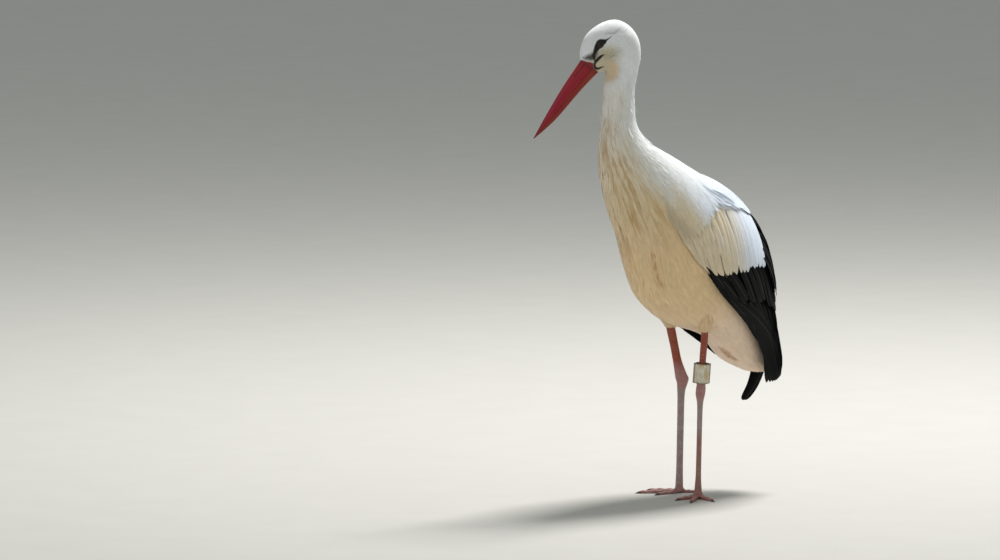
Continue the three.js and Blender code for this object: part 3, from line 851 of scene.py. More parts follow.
@dataclass(frozen=True)
class VaneShape:
    """The outline and section of a feather's vane; lengths across are shares of its half width."""

    rows: int = 5
    columns: int = 3
    base: float = 0.5
    widest: float = 0.45
    tip: tuple[float, float] = (2.0, 0.5)
    camber: float = 0.12
    thick: float = 0.1  # millimetres
    shaft: float = 0.0  # how far the shaft stands out, in millimetres
    crowd: float = 1.35  # how closely the rows stand together towards the tip

    @property
    def shares(self) -> Array:
        """Where the rows lie along the vane, crowded towards the tip as (1 - x)^crowd."""
        return 1 - (1 - np.linspace(0, 1, self.rows)) ** self.crowd

    def outline(self, s: Array) -> Array:
        """The half width at s: a quarter sine up to the widest place, then (1 - w^a)^b.

        Args:
            s: Shares of the way from root to tip.

        Returns:
            Shares of the feather's half width.
        """
        rise = self.base + (1 - self.base) * np.sin(np.pi / 2 * np.clip(s / self.widest, 0, 1))
        w = np.clip((s - self.widest) / (1 - self.widest), 0, 1)
        return np.maximum(rise * (1 - w ** self.tip[0]) ** self.tip[1], 0.04)

    def grow(
        self,
        centre: Array,
        normal: Array,
        width: Array,
        rise: Array,
        tint: Array,
        home: Array,
        roll: Array,
    ) -> MeshData:
        """Closed vanes along given shafts.

        Each row of a vane is a flat lens across its shaft: its upper side stands thick (1 - x^2)
        above the middle and its lower side as far below, the edges drooping by camber x^2.

        Args:
            centre: The shafts' points on the skin, by feather and row.
            normal: The skin's outward normals there.
            width: Each feather's half width.
            rise: How far each shaft point lies above the skin.
            tint: A colour for each feather, or for each of its rows.
            home: Each root's place on the skin's unwrap, from 0 to 1.
            roll: How far each vane turns about its shaft.

        Returns:
            The joined vanes with their bake and vane maps.
        """
        count, rows = centre.shape[:2]
        centre = centre + normal * rise[..., None]
        way = unit(np.gradient(centre, axis=1))
        aside = unit(np.cross(way, normal))
        over = np.cross(aside, way)
        roll = roll[:, None, None]
        aside, over = aside * np.cos(roll) + over * np.sin(roll), over * np.cos(roll) - aside * np.sin(roll)
        x = np.linspace(-1, 1, self.columns)
        section = np.concatenate([x, x[-2:0:-1]])
        up = np.concatenate([1 - x**2, -(1 - x[-2:0:-1] ** 2)]) * self.thick
        up[self.columns // 2] += self.shaft
        shares = self.shares
        half = width[:, None] * self.outline(shares)
        verts = (
            centre[:, :, None]
            + aside[:, :, None] * (half[..., None] * section)[..., None]
            + over[:, :, None] * (up - half[..., None] * self.camber * section**2)[..., None]
        )
        ring = len(section)
        row, col = np.meshgrid(np.arange(rows - 1), np.arange(ring), indexing="ij")
        after = (col + 1) % ring
        a, b = row * ring + col, row * ring + after
        quads = np.stack([a, b, b + ring, a + ring], -1).reshape(-1, 4)
        ladder = [(j, j + 1, ring - j - 1, ring - j) for j in range(1, self.columns - 2)]
        closing = [(0, 1, ring - 1), (self.columns - 2, self.columns - 1, self.columns)]
        end = (rows - 1) * ring
        caps4 = np.array([q[::-1] for q in ladder] + [[end + v for v in q] for q in ladder])
        caps3 = np.array([t[::-1] for t in closing] + [[end + v for v in t] for t in closing])
        quads = np.concatenate([quads, caps4.reshape(-1, 4).astype(int)])
        start = (np.arange(count) * rows * ring)[:, None, None]
        grid = np.broadcast_to((section + 1) / 2, (count, rows, ring))
        along = np.broadcast_to(shares[None, :, None], (count, rows, ring))
        patch = np.stack([grid - 0.5, along - 0.5], -1) * BAKE_PATCH + home[:, None, None]
        if tint.ndim == 2:
            tint = tint[:, None]
        mark = np.zeros((rows, ring), int)
        mark[0], mark[-1] = ROOT_CAP, TIP_CAP
        mark[:, 0] |= LEFT_EDGE
        mark[:, self.columns - 1] |= RIGHT_EDGE
        return MeshData(
            verts.reshape(-1, 3),
            (quads[None] + start).reshape(-1, 4),
            (caps3[None] + start).reshape(-1, 3),
            {"OFBake": patch.reshape(-1, 2), "vane": np.stack([grid, along], -1).reshape(-1, 2)},
            np.broadcast_to(tint[:, :, None], (count, rows, ring, 3)).reshape(-1, 3),
            np.tile(mark.ravel(), count),
        )


def scatter(surface: Surface, density: Array, count: int, rng: np.random.Generator) -> tuple[Array, Array]:
    """Evenly spread places on a surface, by area and a density over a grid: even places in the unit
    square go through the inverse of the summed density, first along and then across.

    Args:
        surface: The skin to spread over.
        density: How many places an area gets, on a grid over the whole skin.
        count: How many places.
        rng: The random numbers for the jitter within a cell.

    Returns:
        The places' p and q.
    """
    rows, cols = density.shape
    p, q = (np.arange(rows) + 0.5) / rows, (np.arange(cols) + 0.5) / cols
    grid_p, grid_q = np.meshgrid(p, q, indexing="ij")
    _, along, across, _ = surface.frame(grid_p, grid_q)
    weight = np.linalg.norm(np.cross(along, across), axis=-1) * density
    first, second = even_places(count)
    summed = np.cumsum(weight.sum(1))
    row = np.minimum(np.searchsorted(summed / summed[-1], first), rows - 1)
    across_sum = np.cumsum(weight, 1) / np.maximum(weight.sum(1, keepdims=True), 1e-9)
    col = np.minimum((across_sum[row] < second[:, None]).sum(1), cols - 1)
    jitter = rng.random((2, count)) - 0.5
    return p[row] + jitter[0] / rows, q[col] + jitter[1] / cols


# ---------------------------------------------------------------- colours and markings


@dataclass(frozen=True)
class Chain:
    """A soft-edged mark on the side of the head: points forward and up, each with a radius."""

    points: tuple
    soft: float
    samples: int = 40

    def cover(self, forward: Array, up: Array) -> Array:
        """1 inside the mark and 0 outside: a smooth step of the distance past its edge.

        Args:
            forward: How far forward in the head the places are.
            up: How far up they are.

        Returns:
            Numbers from 0 to 1.
        """
        near = np.full(np.shape(forward), np.inf)
        for f, z, radius in catmull_rom(np.array(self.points, float), np.linspace(0, 1, self.samples)):
            near = np.minimum(near, np.hypot(forward - f, up - z) - radius)
        return 1 - ramp(near, -self.soft, self.soft)


@dataclass(frozen=True)
class Markings:
    """The colours of skin and coat, by place; both read them here."""

    white: Colour = srgb(0.91, 0.92, 0.925)
    cream: Colour = srgb(0.88, 0.84, 0.74)
    tan: Colour = srgb(0.86, 0.775, 0.60)
    ochre: Colour = srgb(0.69, 0.54, 0.33)
    rosy: Colour = srgb(0.90, 0.775, 0.595)
    pink: Colour = srgb(0.92, 0.825, 0.735)
    buff: Colour = srgb(0.87, 0.70, 0.50)
    # painted shade of the lower face
    face_shade: Colour = srgb(0.76, 0.71, 0.57)
    brown: Colour = srgb(0.48, 0.42, 0.30)
    shade: Colour = srgb(0.50, 0.47, 0.38)
    smoke: Colour = srgb(0.15, 0.16, 0.15)
    black: Colour = srgb(0.055, 0.05, 0.05)
    quill: Colour = srgb(0.04, 0.045, 0.045)
    vent: Colour = srgb(0.66, 0.44, 0.25)
    bill_red: Colour = srgb(0.50, 0.06, 0.12)
    eye_patch: Chain = Chain(
        ((22.7, 840.6, 0.5), (27, 837.6, 1.0), (31.4, 834.7, 1.8), (35.8, 832.0, 4.3), (41.3, 830.0, 6.4),
         (45.6, 824.5, 5.9), (49.0, 818.6, 4.3), (51.4, 813.4, 3.0), (52.8, 808.5, 2.4), (52.6, 803.0, 2.0),
         (51.0, 798.0, 1.2)), 0.8,
    )
    lore: Chain = Chain(
        ((50, 813, 3.0), (52, 808, 5.0), (56, 804.5, 6.0), (62, 803, 5.0), (68, 802, 2.2)), 4.0
    )
    # brown streaks over the cheek, laid on strongly enough to paint its shade as well
    cheek: Chain = Chain(((44, 812, 3), (34, 808, 6), (22, 806, 8), (10, 812, 7)), 9.0)
    # a painted shadow along the groove above the eye, laid on in the shade colour
    brow: Chain = Chain(
        ((34, 845, 0.6), (26, 847, 1.4), (18, 846.5, 1.8), (10, 851, 1.2), (3, 856, 0.5)), 2.0
    )
    gape: Chain = Chain(
        ((36.0, 808.8, 0.9), (41.6, 805.1, 2.4), (46.8, 799.4, 2.8), (50.6, 793.5, 2.1), (50.3, 786.9, 2.2),
         (47.3, 783.4, 2.6), (43.3, 783.2, 2.5), (35.3, 786.8, 1.0)), 0.7,
    )
    throat: Chain = Chain(((25, 790, 2), (17, 788, 5), (15, 779, 6), (18, 768, 6), (17, 750, 4)), 8.0)
    bare: Chain = Chain(((72, 789, 9), (66, 787, 9.2), (58.5, 786, 8.6), (57, 785, 8.2)), 0.5)
    # darker stains, the last two a faint painted shadow line at the undertail's edge: x, y, z, reach across,
    # reach up and down, strength
    stains_and_shadow: tuple = (
        (-134, -39, 443, 4, 14, 0.75), (-127, -39, 425, 4, 14, 0.9), (-120, -38, 406, 4, 13, 0.9),
        (-114, -40, 392, 6, 8, 0.6), (70, -13, 259, 9, 6, 0.7), (80, -14, 252, 10, 6, 0.95),
        (90, -14, 245, 10, 6, 1.0), (100, -16, 239, 8, 6, 0.8), (40, -22, 276, 5, 10, 0.3),
        (18, -50, 308, 4, 12, 0.3),
    )

    def tint(self, points: Array, u: Array, q: Array) -> Array:
        """The colour at places of the body: stains, a painted shadow line and markings laid one over the
        other.

        Args:
            points: The places, in design millimetres.
            u: Their shares of the body's run.
            q: Their turns round the slices.

        Returns:
            Linear colours.
        """
        at = BODY.station
        front = 0.5 - 0.5 * np.cos(2 * np.pi * q)
        streak = lattice_noise(q * 110, u * 22, 3)
        broad = lattice_noise(q * 17, u * 14, 5)
        patchy = 0.75 + 0.25 * broad
        neck = ramp(u, at("throat"), at("upper_neck")) * ramp(front, 0.2, 0.8)
        rim = 0.55 - 0.3 * ramp(u, at("upper_breast"), at("middle"))
        stained = ramp(u, at("middle_neck"), at("breast")) * ramp(front, rim, rim + 0.4)
        # rosy on the underside: partly the coat's own warm tone, partly painted warm light bounced up from
        # below
        down = ramp(u, at("upper_breast", 0.5), at("belly")) * ramp(front, 0.25, 0.6)
        fore = ramp(u, at("throat", 0.5), at("shoulder")) * (1 - ramp(u, at("breast", 0.5), at("belly", 0.5)))
        hackles = fore * ramp(front, 0.6, 0.97) * (0.2 + 0.8 * ramp(streak, 0.4, 0.8)) * (0.5 + 0.5 * broad)
        under = ramp(u, at("lower_belly", 0.5), at("rump", 0.5)) * ramp(front, 0.1, 0.5)
        colour = painted(
            self.white, (self.cream, neck * (0.2 + 0.5 * streak)), (self.tan, stained * patchy),
            (self.rosy, down * patchy), (self.ochre, 0.95 * hackles), (self.pink, 0.85 * under),
        )
        x, y, z = np.moveaxis(points, -1, 0)
        # the vent colour also lays the faint painted shadow line at the undertail's edge
        for cx, cy, cz, wide, tall, share in self.stains_and_shadow:
            near = np.sqrt(((x - cx) / wide) ** 2 + ((y - cy) / wide) ** 2 + ((z - cz) / tall) ** 2)
            colour = blend(colour, self.vent, share * (1 - ramp(near, 0.2, 1.3)) * (0.7 + 0.3 * streak))
        return self.head(colour, points, u, front)

    def head(self, colour: Array, points: Array, u: Array, front: Array) -> Array:
        """The markings of the head, laid over a colour.

        Args:
            colour: The colours under them.
            points: The places, in design millimetres.
            u: Their shares of the body's run.
            front: 0 on the back line and 1 on the front line.

        Returns:
            Linear colours.
        """
        forward, _, up = BODY.to_head(points)
        speck = lattice_noise(forward * 0.8, up * 0.55, 21)
        thread = lattice_noise(forward * 0.35 + 7, up * 1.6, 22)
        # painted shade: the lower face is washed a dull olive
        cheek = 0.85 * ramp(front, 0.2, 0.6) * ramp(forward, -5, 30) * ramp(up, 838, 815)
        on_head = 1 - ramp(u, BODY.station("nape_foot"), BODY.station("throat", 0.6))
        coats = (
            (self.face_shade, cheek), (self.buff, 0.62 * self.throat.cover(forward, up)),
            (self.smoke, self.lore.cover(forward, up) * (0.75 + 0.25 * ramp(speck, 0.25, 0.6))),
            (self.brown, 0.5 * self.cheek.cover(forward, up) * (0.3 + 0.7 * ramp(thread, 0.4, 0.8))),
            (self.shade, 0.4 * self.brow.cover(forward, up)), (self.black, self.gape.cover(forward, up)),
            (self.black, self.eye_patch.cover(forward, up)),
        )
        return painted(colour, *((over, on_head * share) for over, share in coats))

    def bare_skin(self, points: Array, u: Array) -> Array:
        """1 on the bill's bare base at the corner of the mouth and 0 off it."""
        forward, _, up = BODY.to_head(points)
        return self.bare.cover(forward, up) * (u < BODY.station("crown"))


MARKINGS = Markings()


@dataclass(frozen=True)
class FeatherFinish:
    """The make of a feather material: matt barbs to either side of a shaft."""

    name: str
    roughness: float = 0.72
    sheen: float = 0.2
    specular: float = 0.3
    barb_depth: float = 0.00012
    barbs: float = 60.0
    shaft_light: float = 0.0
    edge_dark: float = 0.04
    mottle: float = 0.04

    def material(self) -> bpy.types.Material:
        """The tint, darker towards the base and a little at the edges, with barbs as bump.

        Returns:
            The material.
        """
        g = Graph(self.name)
        across, along = g.vane()
        off = abs(across - 0.5) * 2.0
        comb = (along * self.barbs - off * 6.0).maths("FRACT")
        ridge = abs(comb - 0.5) * 2.0
        shaft = 1.0 - off.ramp(0.02, 0.1)
        patch = g.noise(g.place(), 90.0)
        # painted shade: darker towards the root, which lies under the next feathers
        base = g.mix((1.0 - along.ramp(0.0, 0.5)) * 0.2, g.tint(), srgb(0.7, 0.68, 0.64), "MULTIPLY")
        shade = off.ramp(0.55, 1.0) * self.edge_dark + patch.ramp(0.35, 0.7) * self.mottle
        base = g.mix(shade, base, (0, 0, 0))
        if self.shaft_light:
            base = g.mix(shaft * self.shaft_light, base, srgb(0.55, 0.54, 0.52))
        height = ridge * 0.5 + shaft * 0.6 + g.noise(g.place(), 700.0) * 0.5
        rough = self.roughness + (ridge - 0.5) * 0.1
        return g.done(
            Base_Color=base, Roughness=rough, Normal=g.bump(height, self.barb_depth, 0.7),
            Sheen_Weight=self.sheen, Sheen_Roughness=0.5, Specular_IOR_Level=self.specular,
        )


@dataclass(frozen=True)
class SkinFinish:
    """Soft skin under the coat, bare only round the eye and at the bill's base."""

    name: str = "bird_skin"

    def material(self) -> bpy.types.Material:
        """The tint with fine wrinkles and pores.

        Returns:
            The material.
        """
        g = Graph(self.name)
        fine, broad = g.noise(g.place(), 900.0, 3.0), g.noise(g.place(), 120.0)
        base = g.mix(broad.ramp(0.3, 0.75) * 0.06, g.tint(), srgb(0.45, 0.38, 0.33))
        height = g.cells(g.place(), 700.0).ramp(0.0, 0.12) * 0.6 + fine * 0.4
        return g.done(Base_Color=base, Roughness=0.7 - fine * 0.15, Normal=g.bump(height, 0.0002, 0.6))


# ---------------------------------------------------------------- the coat of the body


@dataclass(frozen=True)
class Tract:
    """A stretch of the body's coat between two slices, with its feathers' shape."""

    name: str
    start: str
    end: str
    roll: float  # how far the feathers turn about their shafts, in radians
    stir: float  # how far they stray from the lie, in radians
    strays: float  # the share of feathers that stand off the coat
    shape: VaneShape


@dataclass
class BodyCoat:
    """The small feathers of head, neck, trunk and tail, over one skin; sizes by slice."""

    cover: float = 5.0  # how many feathers lie over each place
    length: dict = field(default_factory=lambda: {
        "face": 3.6, "forehead": 4.6, "brow": 5.5, "crown": 6.5, "nape": 8.5, "nape_foot": 11,
        "throat": 13, "upper_neck": 17, "middle_neck": 20, "lower_neck": 24, "neck_root": 31, "shoulder": 38,
        "upper_breast": 42, "breast": 44, "belly": 44, "hip": 42, "vent": 46, "tail_tip": 48,
    })
    width: dict = field(default_factory=lambda: {
        "face": 0.62, "forehead": 0.75, "brow": 0.85, "crown": 0.95, "nape": 1.15, "nape_foot": 1.35,
        "throat": 1.4, "upper_neck": 1.6, "middle_neck": 1.8, "lower_neck": 2.1, "neck_root": 2.7,
        "shoulder": 3.4, "upper_breast": 3.6, "breast": 3.8, "belly": 4.0, "hip": 4.2, "vent": 4.4,
        "tail_tip": 5,
    })
    depth: dict = field(default_factory=lambda: {
        "face": 0.5, "forehead": 0.8, "brow": 1.0, "crown": 1.2, "nape": 1.6, "throat": 2.4,
        "upper_neck": 3.0, "lower_neck": 3.8, "shoulder": 4.5, "breast": 5.0, "hip": 5.0, "tail_tip": 4.5,
    })
    tracts: tuple = (
        Tract("coat_face", "face", "crown", 0.05, 0.08, 0, VaneShape(4, 3, 0.6, 0.45, (2, 0.7), 0.04, 0.04)),
        Tract("coat_crown", "crown", "throat", 0.04, 0.08, 0,
              VaneShape(4, 3, 0.6, 0.45, (2, 0.8), 0.04, 0.04)),
        Tract("coat_neck", "throat", "neck_root", 0.04, 0.06, 0.014,
              VaneShape(6, 3, 0.5, 0.4, (1.5, 0.9), 0.04, 0.05)),
        Tract("coat_breast", "neck_root", "breast", 0.03, 0.06, 0.003,
              VaneShape(6, 3, 0.45, 0.4, (1.5, 0.9), 0.03, 0.05)),
        Tract("coat_belly", "breast", "hip", 0.03, 0.07, 0,
              VaneShape(6, 3, 0.45, 0.45, (1.6, 0.9), 0.03, 0.05)),
        Tract("coat_rump", "hip", "tail_tip", 0.03, 0.05, 0,
              VaneShape(6, 3, 0.45, 0.45, (1.8, 0.8), 0.03, 0.05)),
    )
    cell_rows: int = 420
    cell_columns: int = 180
    wing_grid: tuple[int, int] = (50, 40)  # places tried along and across a wing
    wing_margin: float = 0.07  # how far inside its lower edge a wing hides the coat
    wing_clear: float = 4.0  # how far outside the skin it has to lie
    wing_near: float = 60.0  # and how near

    def hidden(self, u: Array, q: Array) -> Array:
        """True where a folded wing lies over the body: the nearest place of a wing is well inside
        its edges and further out than the skin. Every third place is tried and stands for its
        neighbours.

        Args:
            u: Shares of the run, on a grid.
            q: Turns round the slices, on the same grid.

        Returns:
            The grid of what is true.
        """
        rows, cols = u[::3, ::3], q[::3, ::3]
        at, _, _, normal = BODY.frame(rows, cols)
        under = np.zeros(rows.shape, bool)
        high, wide = self.wing_grid
        p, across = np.meshgrid(np.linspace(0.04, 0.92, high), np.linspace(0.0, 1.0, wide), indexing="ij")
        for wing in WINGS.values():
            cover = wing.point(p, across * (wing.hem(p) - self.wing_margin)).reshape(-1, 3)
            near = (at**2).sum(-1)[..., None] + (cover**2).sum(-1) - 2 * at @ cover.T
            pick = near.argmin(-1)
            best = np.take_along_axis(near, pick[..., None], -1)[..., 0]
            outside = dot(cover[pick] - at, normal) > self.wing_clear
            inner = (pick // wide > 0) & (pick // wide < high - 1) & (pick % wide < wide - 1)
            under |= inner & outside & (best < self.wing_near**2)
        return np.kron(under, np.ones((3, 3), bool))[: u.shape[0], : u.shape[1]]

    def flow(self, points: Array, u: Array, along: Array) -> Array:
        """The lie of the coat: away from the bill's base over the head, then along the body.

        Args:
            points: The feathers' roots.
            u: Their shares of the run.
            along: The way that the run goes there.

        Returns:
            Ways of length 1.
        """
        away = unit(points - BODY.from_head(62, 0, 794))
        share = ramp(u, BODY.station("nape"), BODY.station("throat", 0.5))
        return unit(blend(away, unit(along), share))

    def build(self, rng: np.random.Generator) -> dict[str, MeshData]:
        """Every tract's feathers.

        Args:
            rng: The random numbers.

        Returns:
            The meshes by piece name.
        """
        u = (np.arange(self.cell_rows) + 0.5) / self.cell_rows
        q = (np.arange(self.cell_columns) + 0.5) / self.cell_columns
        grid_u, grid_q = np.meshgrid(u, q, indexing="ij")
        area = BODY.by_station(grid_u, self.length) * BODY.by_station(grid_u, self.width) * 1.5
        density = np.where(self.hidden(grid_u, grid_q), 0.0, self.cover / area)
        _, along, across, _ = BODY.frame(grid_u, grid_q)
        cell = np.linalg.norm(np.cross(along, across), axis=-1) / self.cell_rows / self.cell_columns
        count = int((density * cell).sum())
        root_u, root_q = scatter(BODY, density, count, rng)
        feathered = MARKINGS.bare_skin(BODY.point(root_u, root_q), root_u) < 0.5
        root_u, root_q = root_u[feathered], root_q[feathered]
        log.info("body coat: %d feathers", len(root_u))
        made = {}
        for tract in self.tracts:
            low, high = BODY.station(tract.start), BODY.station(tract.end)
            chosen = (root_u >= low) & (root_u < high)
            made[tract.name] = self.tract(tract, root_u[chosen], root_q[chosen], rng)
        return made

    def tract(self, tract: Tract, u: Array, q: Array, rng: np.random.Generator) -> MeshData:
        """The feathers of one tract.

        Each shaft sets off under the surface by a fifth of the coat's depth, comes up to it as
        (1 - s)^1.3 and ends a little proud of it; a stray stands off by up to 1.8 depths.

        Args:
            tract: The tract.
            u: The roots' shares of the run.
            q: The roots' turns round the slices.
            rng: The random numbers.

        Returns:
            The feathers' mesh.
        """
        shape, count = tract.shape, len(u)
        length = BODY.by_station(u, self.length) * rng.uniform(0.85, 1.2, count)
        width = BODY.by_station(u, self.width) * rng.uniform(0.85, 1.15, count)
        depth = BODY.by_station(u, self.depth)
        at, along, _, normal = BODY.frame(u, q)
        flow = swayed(self.flow(at, u, along), normal, rng.normal(0, tract.stir, count))
        shares = shape.shares
        path_u, path_q = BODY.lay(u, q, flow, length, shares)
        path_u = np.clip(path_u, 0.002, 0.999)
        centre, _, _, out = BODY.frame(path_u, path_q)
        stray = rng.random(count) < tract.strays
        proud = rng.uniform(0.0, 0.02, count) * depth + stray * rng.uniform(0.4, 1.8, count) * depth
        rise = -0.2 * depth[:, None] * (1 - shares) ** 1.3 + proud[:, None] * shares**2
        tint = MARKINGS.tint(centre, path_u, path_q) * rng.normal(1, 0.035, count)[:, None, None]
        home = np.stack([q % 1, u], -1)
        return shape.grow(centre, out, width, rise, tint, home, rng.normal(0, tract.roll, count))


@dataclass
class Skin:
    """One skin for all the flesh: the body's loft drawn in by the coat's depth, with thighs and
    the wings' arms under their feathers."""

    rows: int = 300
    around: int = 96
    sunk: float = 0.36  # how far the skin lies under the coat's surface, as a share of its depth
    arm_thick: float = 2.0
    stump_end: float = 0.74  # how far down the thigh's run its stump goes
    stump_sunk: float = 2.5

    def body(self, depth: dict[str, float]) -> MeshData:
        """The loft from the bill's base to the tail's stump, closed at both ends.

        Args:
            depth: The coat's depth, by slice.

        Returns:
            The closed loft with its colours.
        """
        u = np.linspace(0.0, 1.0, self.rows)[:, None]
        q = (np.arange(self.around) / self.around)[None]
        u, q = np.broadcast_arrays(u, q)
        points = BODY.point(u, q)
        bare = MARKINGS.bare_skin(points, u)
        points = BODY.point(u, q, -self.sunk * BODY.by_station(u, depth) * (1 - bare) - 0.1 * bare)
        forward, _, up = BODY.to_head(points)
        red = bare * (1 - MARKINGS.gape.cover(forward, up))
        return closed_tube(points, blend(MARKINGS.tint(points, u, q), MARKINGS.bill_red, red))

    def arm(self, wing: WingForm) -> MeshData:
        """A thin plate under a wing's coverts, white like them and dark under the flight feathers.

        Args:
            wing: The wing's form.

        Returns:
            The plate with its colours.
        """
        p, q = np.broadcast_arrays(np.linspace(0.04, 1.0, 60)[:, None], np.linspace(-0.02, 0.93, 48)[None])
        p = p * wing.white_end(q)
        q = q * np.minimum(wing.hem(p), 1.0)
        dark = ramp(p, wing.white_end(q) - 0.06, wing.white_end(q) - 0.03)
        tint = blend(MARKINGS.white, MARKINGS.quill, dark)
        mantle = wing.mantle_end(q)
        deep = 1.6 + 3.4 * ramp(p, mantle - 0.02, mantle + 0.04) + wing.tucked(p, q)
        return shell_between(wing.point(p, q, -deep), wing.point(p, q, -deep - self.arm_thick), tint)

    def limb(self, thigh: LimbForm) -> MeshData:
        """A thigh's stump inside its feathers.

        Args:
            thigh: The thigh's form.

        Returns:
            The stump with its colour.
        """
        p, q = np.meshgrid(np.linspace(0, self.stump_end, 30), np.arange(32) / 32, indexing="ij")
        points = thigh.point(p, q, -self.stump_sunk)
        return closed_tube(points, np.broadcast_to(MARKINGS.rosy, points.shape))


# ---------------------------------------------------------------- eyes and bill


@dataclass
class Eye:
    """A dark eye with its lids, set in the side of the head."""

    side: Side
    radius: float = 7.6
    opening: float = 5.3  # half the height of the lids' opening
    pupil: float = 2.7
    iris: float = 4.9
    lid_reach: float = 10.5
    lid_flat: float = 0.8  # the share of the lids' run before they fold in
    lid_thick: float = 0.8

    def axes(self) -> tuple[Array, Array, Array, Array]:
        """The ball's centre, the way out of the head, the way along the dark stripe, and up.

        Returns:
            A place in design millimetres and three ways of length 1.
        """
        middle = BODY.from_head(0, 0, 0)
        out = unit(BODY.from_head(0.12, self.side.value, 0) - middle)
        along = unit(BODY.from_head(0.72, 0, -0.69) - middle)
        along = unit(along - out * dot(along, out))
        return STATION.eye_centre(self.side), out, along, np.cross(out, along)

    def about(self, height: Array, radius: Array, turn: Array) -> Array:
        """Points at a height out of the head and a radius and turn about the way out.

        Args:
            height: How far out of the head they are.
            radius: How far they are from the way out.
            turn: Their turns about it, in radians.

        Returns:
            The points, in design millimetres.
        """
        centre, out, a, b = self.axes()
        spoke = np.cos(turn)[..., None] * a + np.sin(turn)[..., None] * b
        return centre + height[..., None] * out + radius[..., None] * spoke

    def ball(self) -> MeshData:
        """A sphere about the way out, its rings coloured as pupil, iris and white.

        Returns:
            The eyeball with its colours.
        """
        tilt = np.linspace(0.02, math.pi - 0.02, 60)[:, None]
        off, turn = np.broadcast_arrays(self.radius * np.sin(tilt), turns(48))
        spokes = lattice_noise(turn * 9, off * 0.6, 8)
        iris = blend(srgb(0.09, 0.055, 0.04), srgb(0.17, 0.10, 0.06), spokes)
        tint = painted(
            srgb(0.01, 0.01, 0.012), (iris, ramp(off, self.pupil - 0.15, self.pupil + 0.15)),
            (srgb(0.05, 0.04, 0.04), ramp(off, self.iris - 0.4, self.iris + 0.3)),
        )
        return closed_tube(self.about(self.radius * np.cos(tilt), off, turn), tint)

    def lids(self) -> MeshData:
        """Two lids as one ring of skin: it leaves the head under the feathers, rises to a rounded
        rim that lies on the ball, and folds in under itself. The opening is a little longer along
        the stripe than across it, and shallow folds run round it.

        Returns:
            The lids with their colours.
        """
        turn, v = turns(72), np.linspace(0, 1, 26)[:, None]
        rim = self.opening * (1 + 0.22 * np.cos(turn) ** 2)
        reach = self.lid_reach * (1 + 0.1 * np.cos(turn) ** 2)
        flat = np.clip(v / self.lid_flat, 0, 1)
        rolled = np.clip((v - self.lid_flat) / (1 - self.lid_flat), 0, 1)
        radius = reach + (rim - reach) * flat**0.85 + 0.35 * np.sin(rolled * np.pi)
        on_ball = np.sqrt(np.maximum(self.radius**2 - rim**2, 1.0)) + 0.45
        skirt = 2.4 - 0.030 * reach**2
        folds = 0.12 * np.sin(flat * 5 * np.pi) * np.sin(flat * np.pi)
        height = skirt + (on_ball - skirt) * ramp(flat, 0, 1.15) + folds + 0.3 * np.sin(rolled * np.pi)
        height = height - 1.3 * ramp(rolled, 0.4, 1.0)
        points = self.about(height, radius, turn)
        inner = points - self.axes()[1] * self.lid_thick
        grey = lattice_noise(turn * 7, v * 9, 4)
        tint = blend(srgb(0.03, 0.028, 0.03), srgb(0.075, 0.07, 0.07), grey)
        return shell_between(*(np.concatenate([grid, grid[:, :1]], 1) for grid in (points, inner, tint)))


@dataclass(frozen=True)
class EyeFinish:
    """A wet eye: the tint under a clear coat."""

    name: str = "wet_eye"

    def material(self) -> bpy.types.Material:
        """A dark iris with a clear, very smooth coat.

        Returns:
            The material.
        """
        g = Graph(self.name)
        depth = g.noise(g.place(), 1500.0)
        base = g.mix(depth.ramp(0.3, 0.8) * 0.2, g.tint(), (0, 0, 0))
        return g.done(
            Base_Color=base, Roughness=0.3, Specular_IOR_Level=0.1, Coat_Weight=1.0, Coat_Roughness=0.02,
            Coat_IOR=1.34,
        )


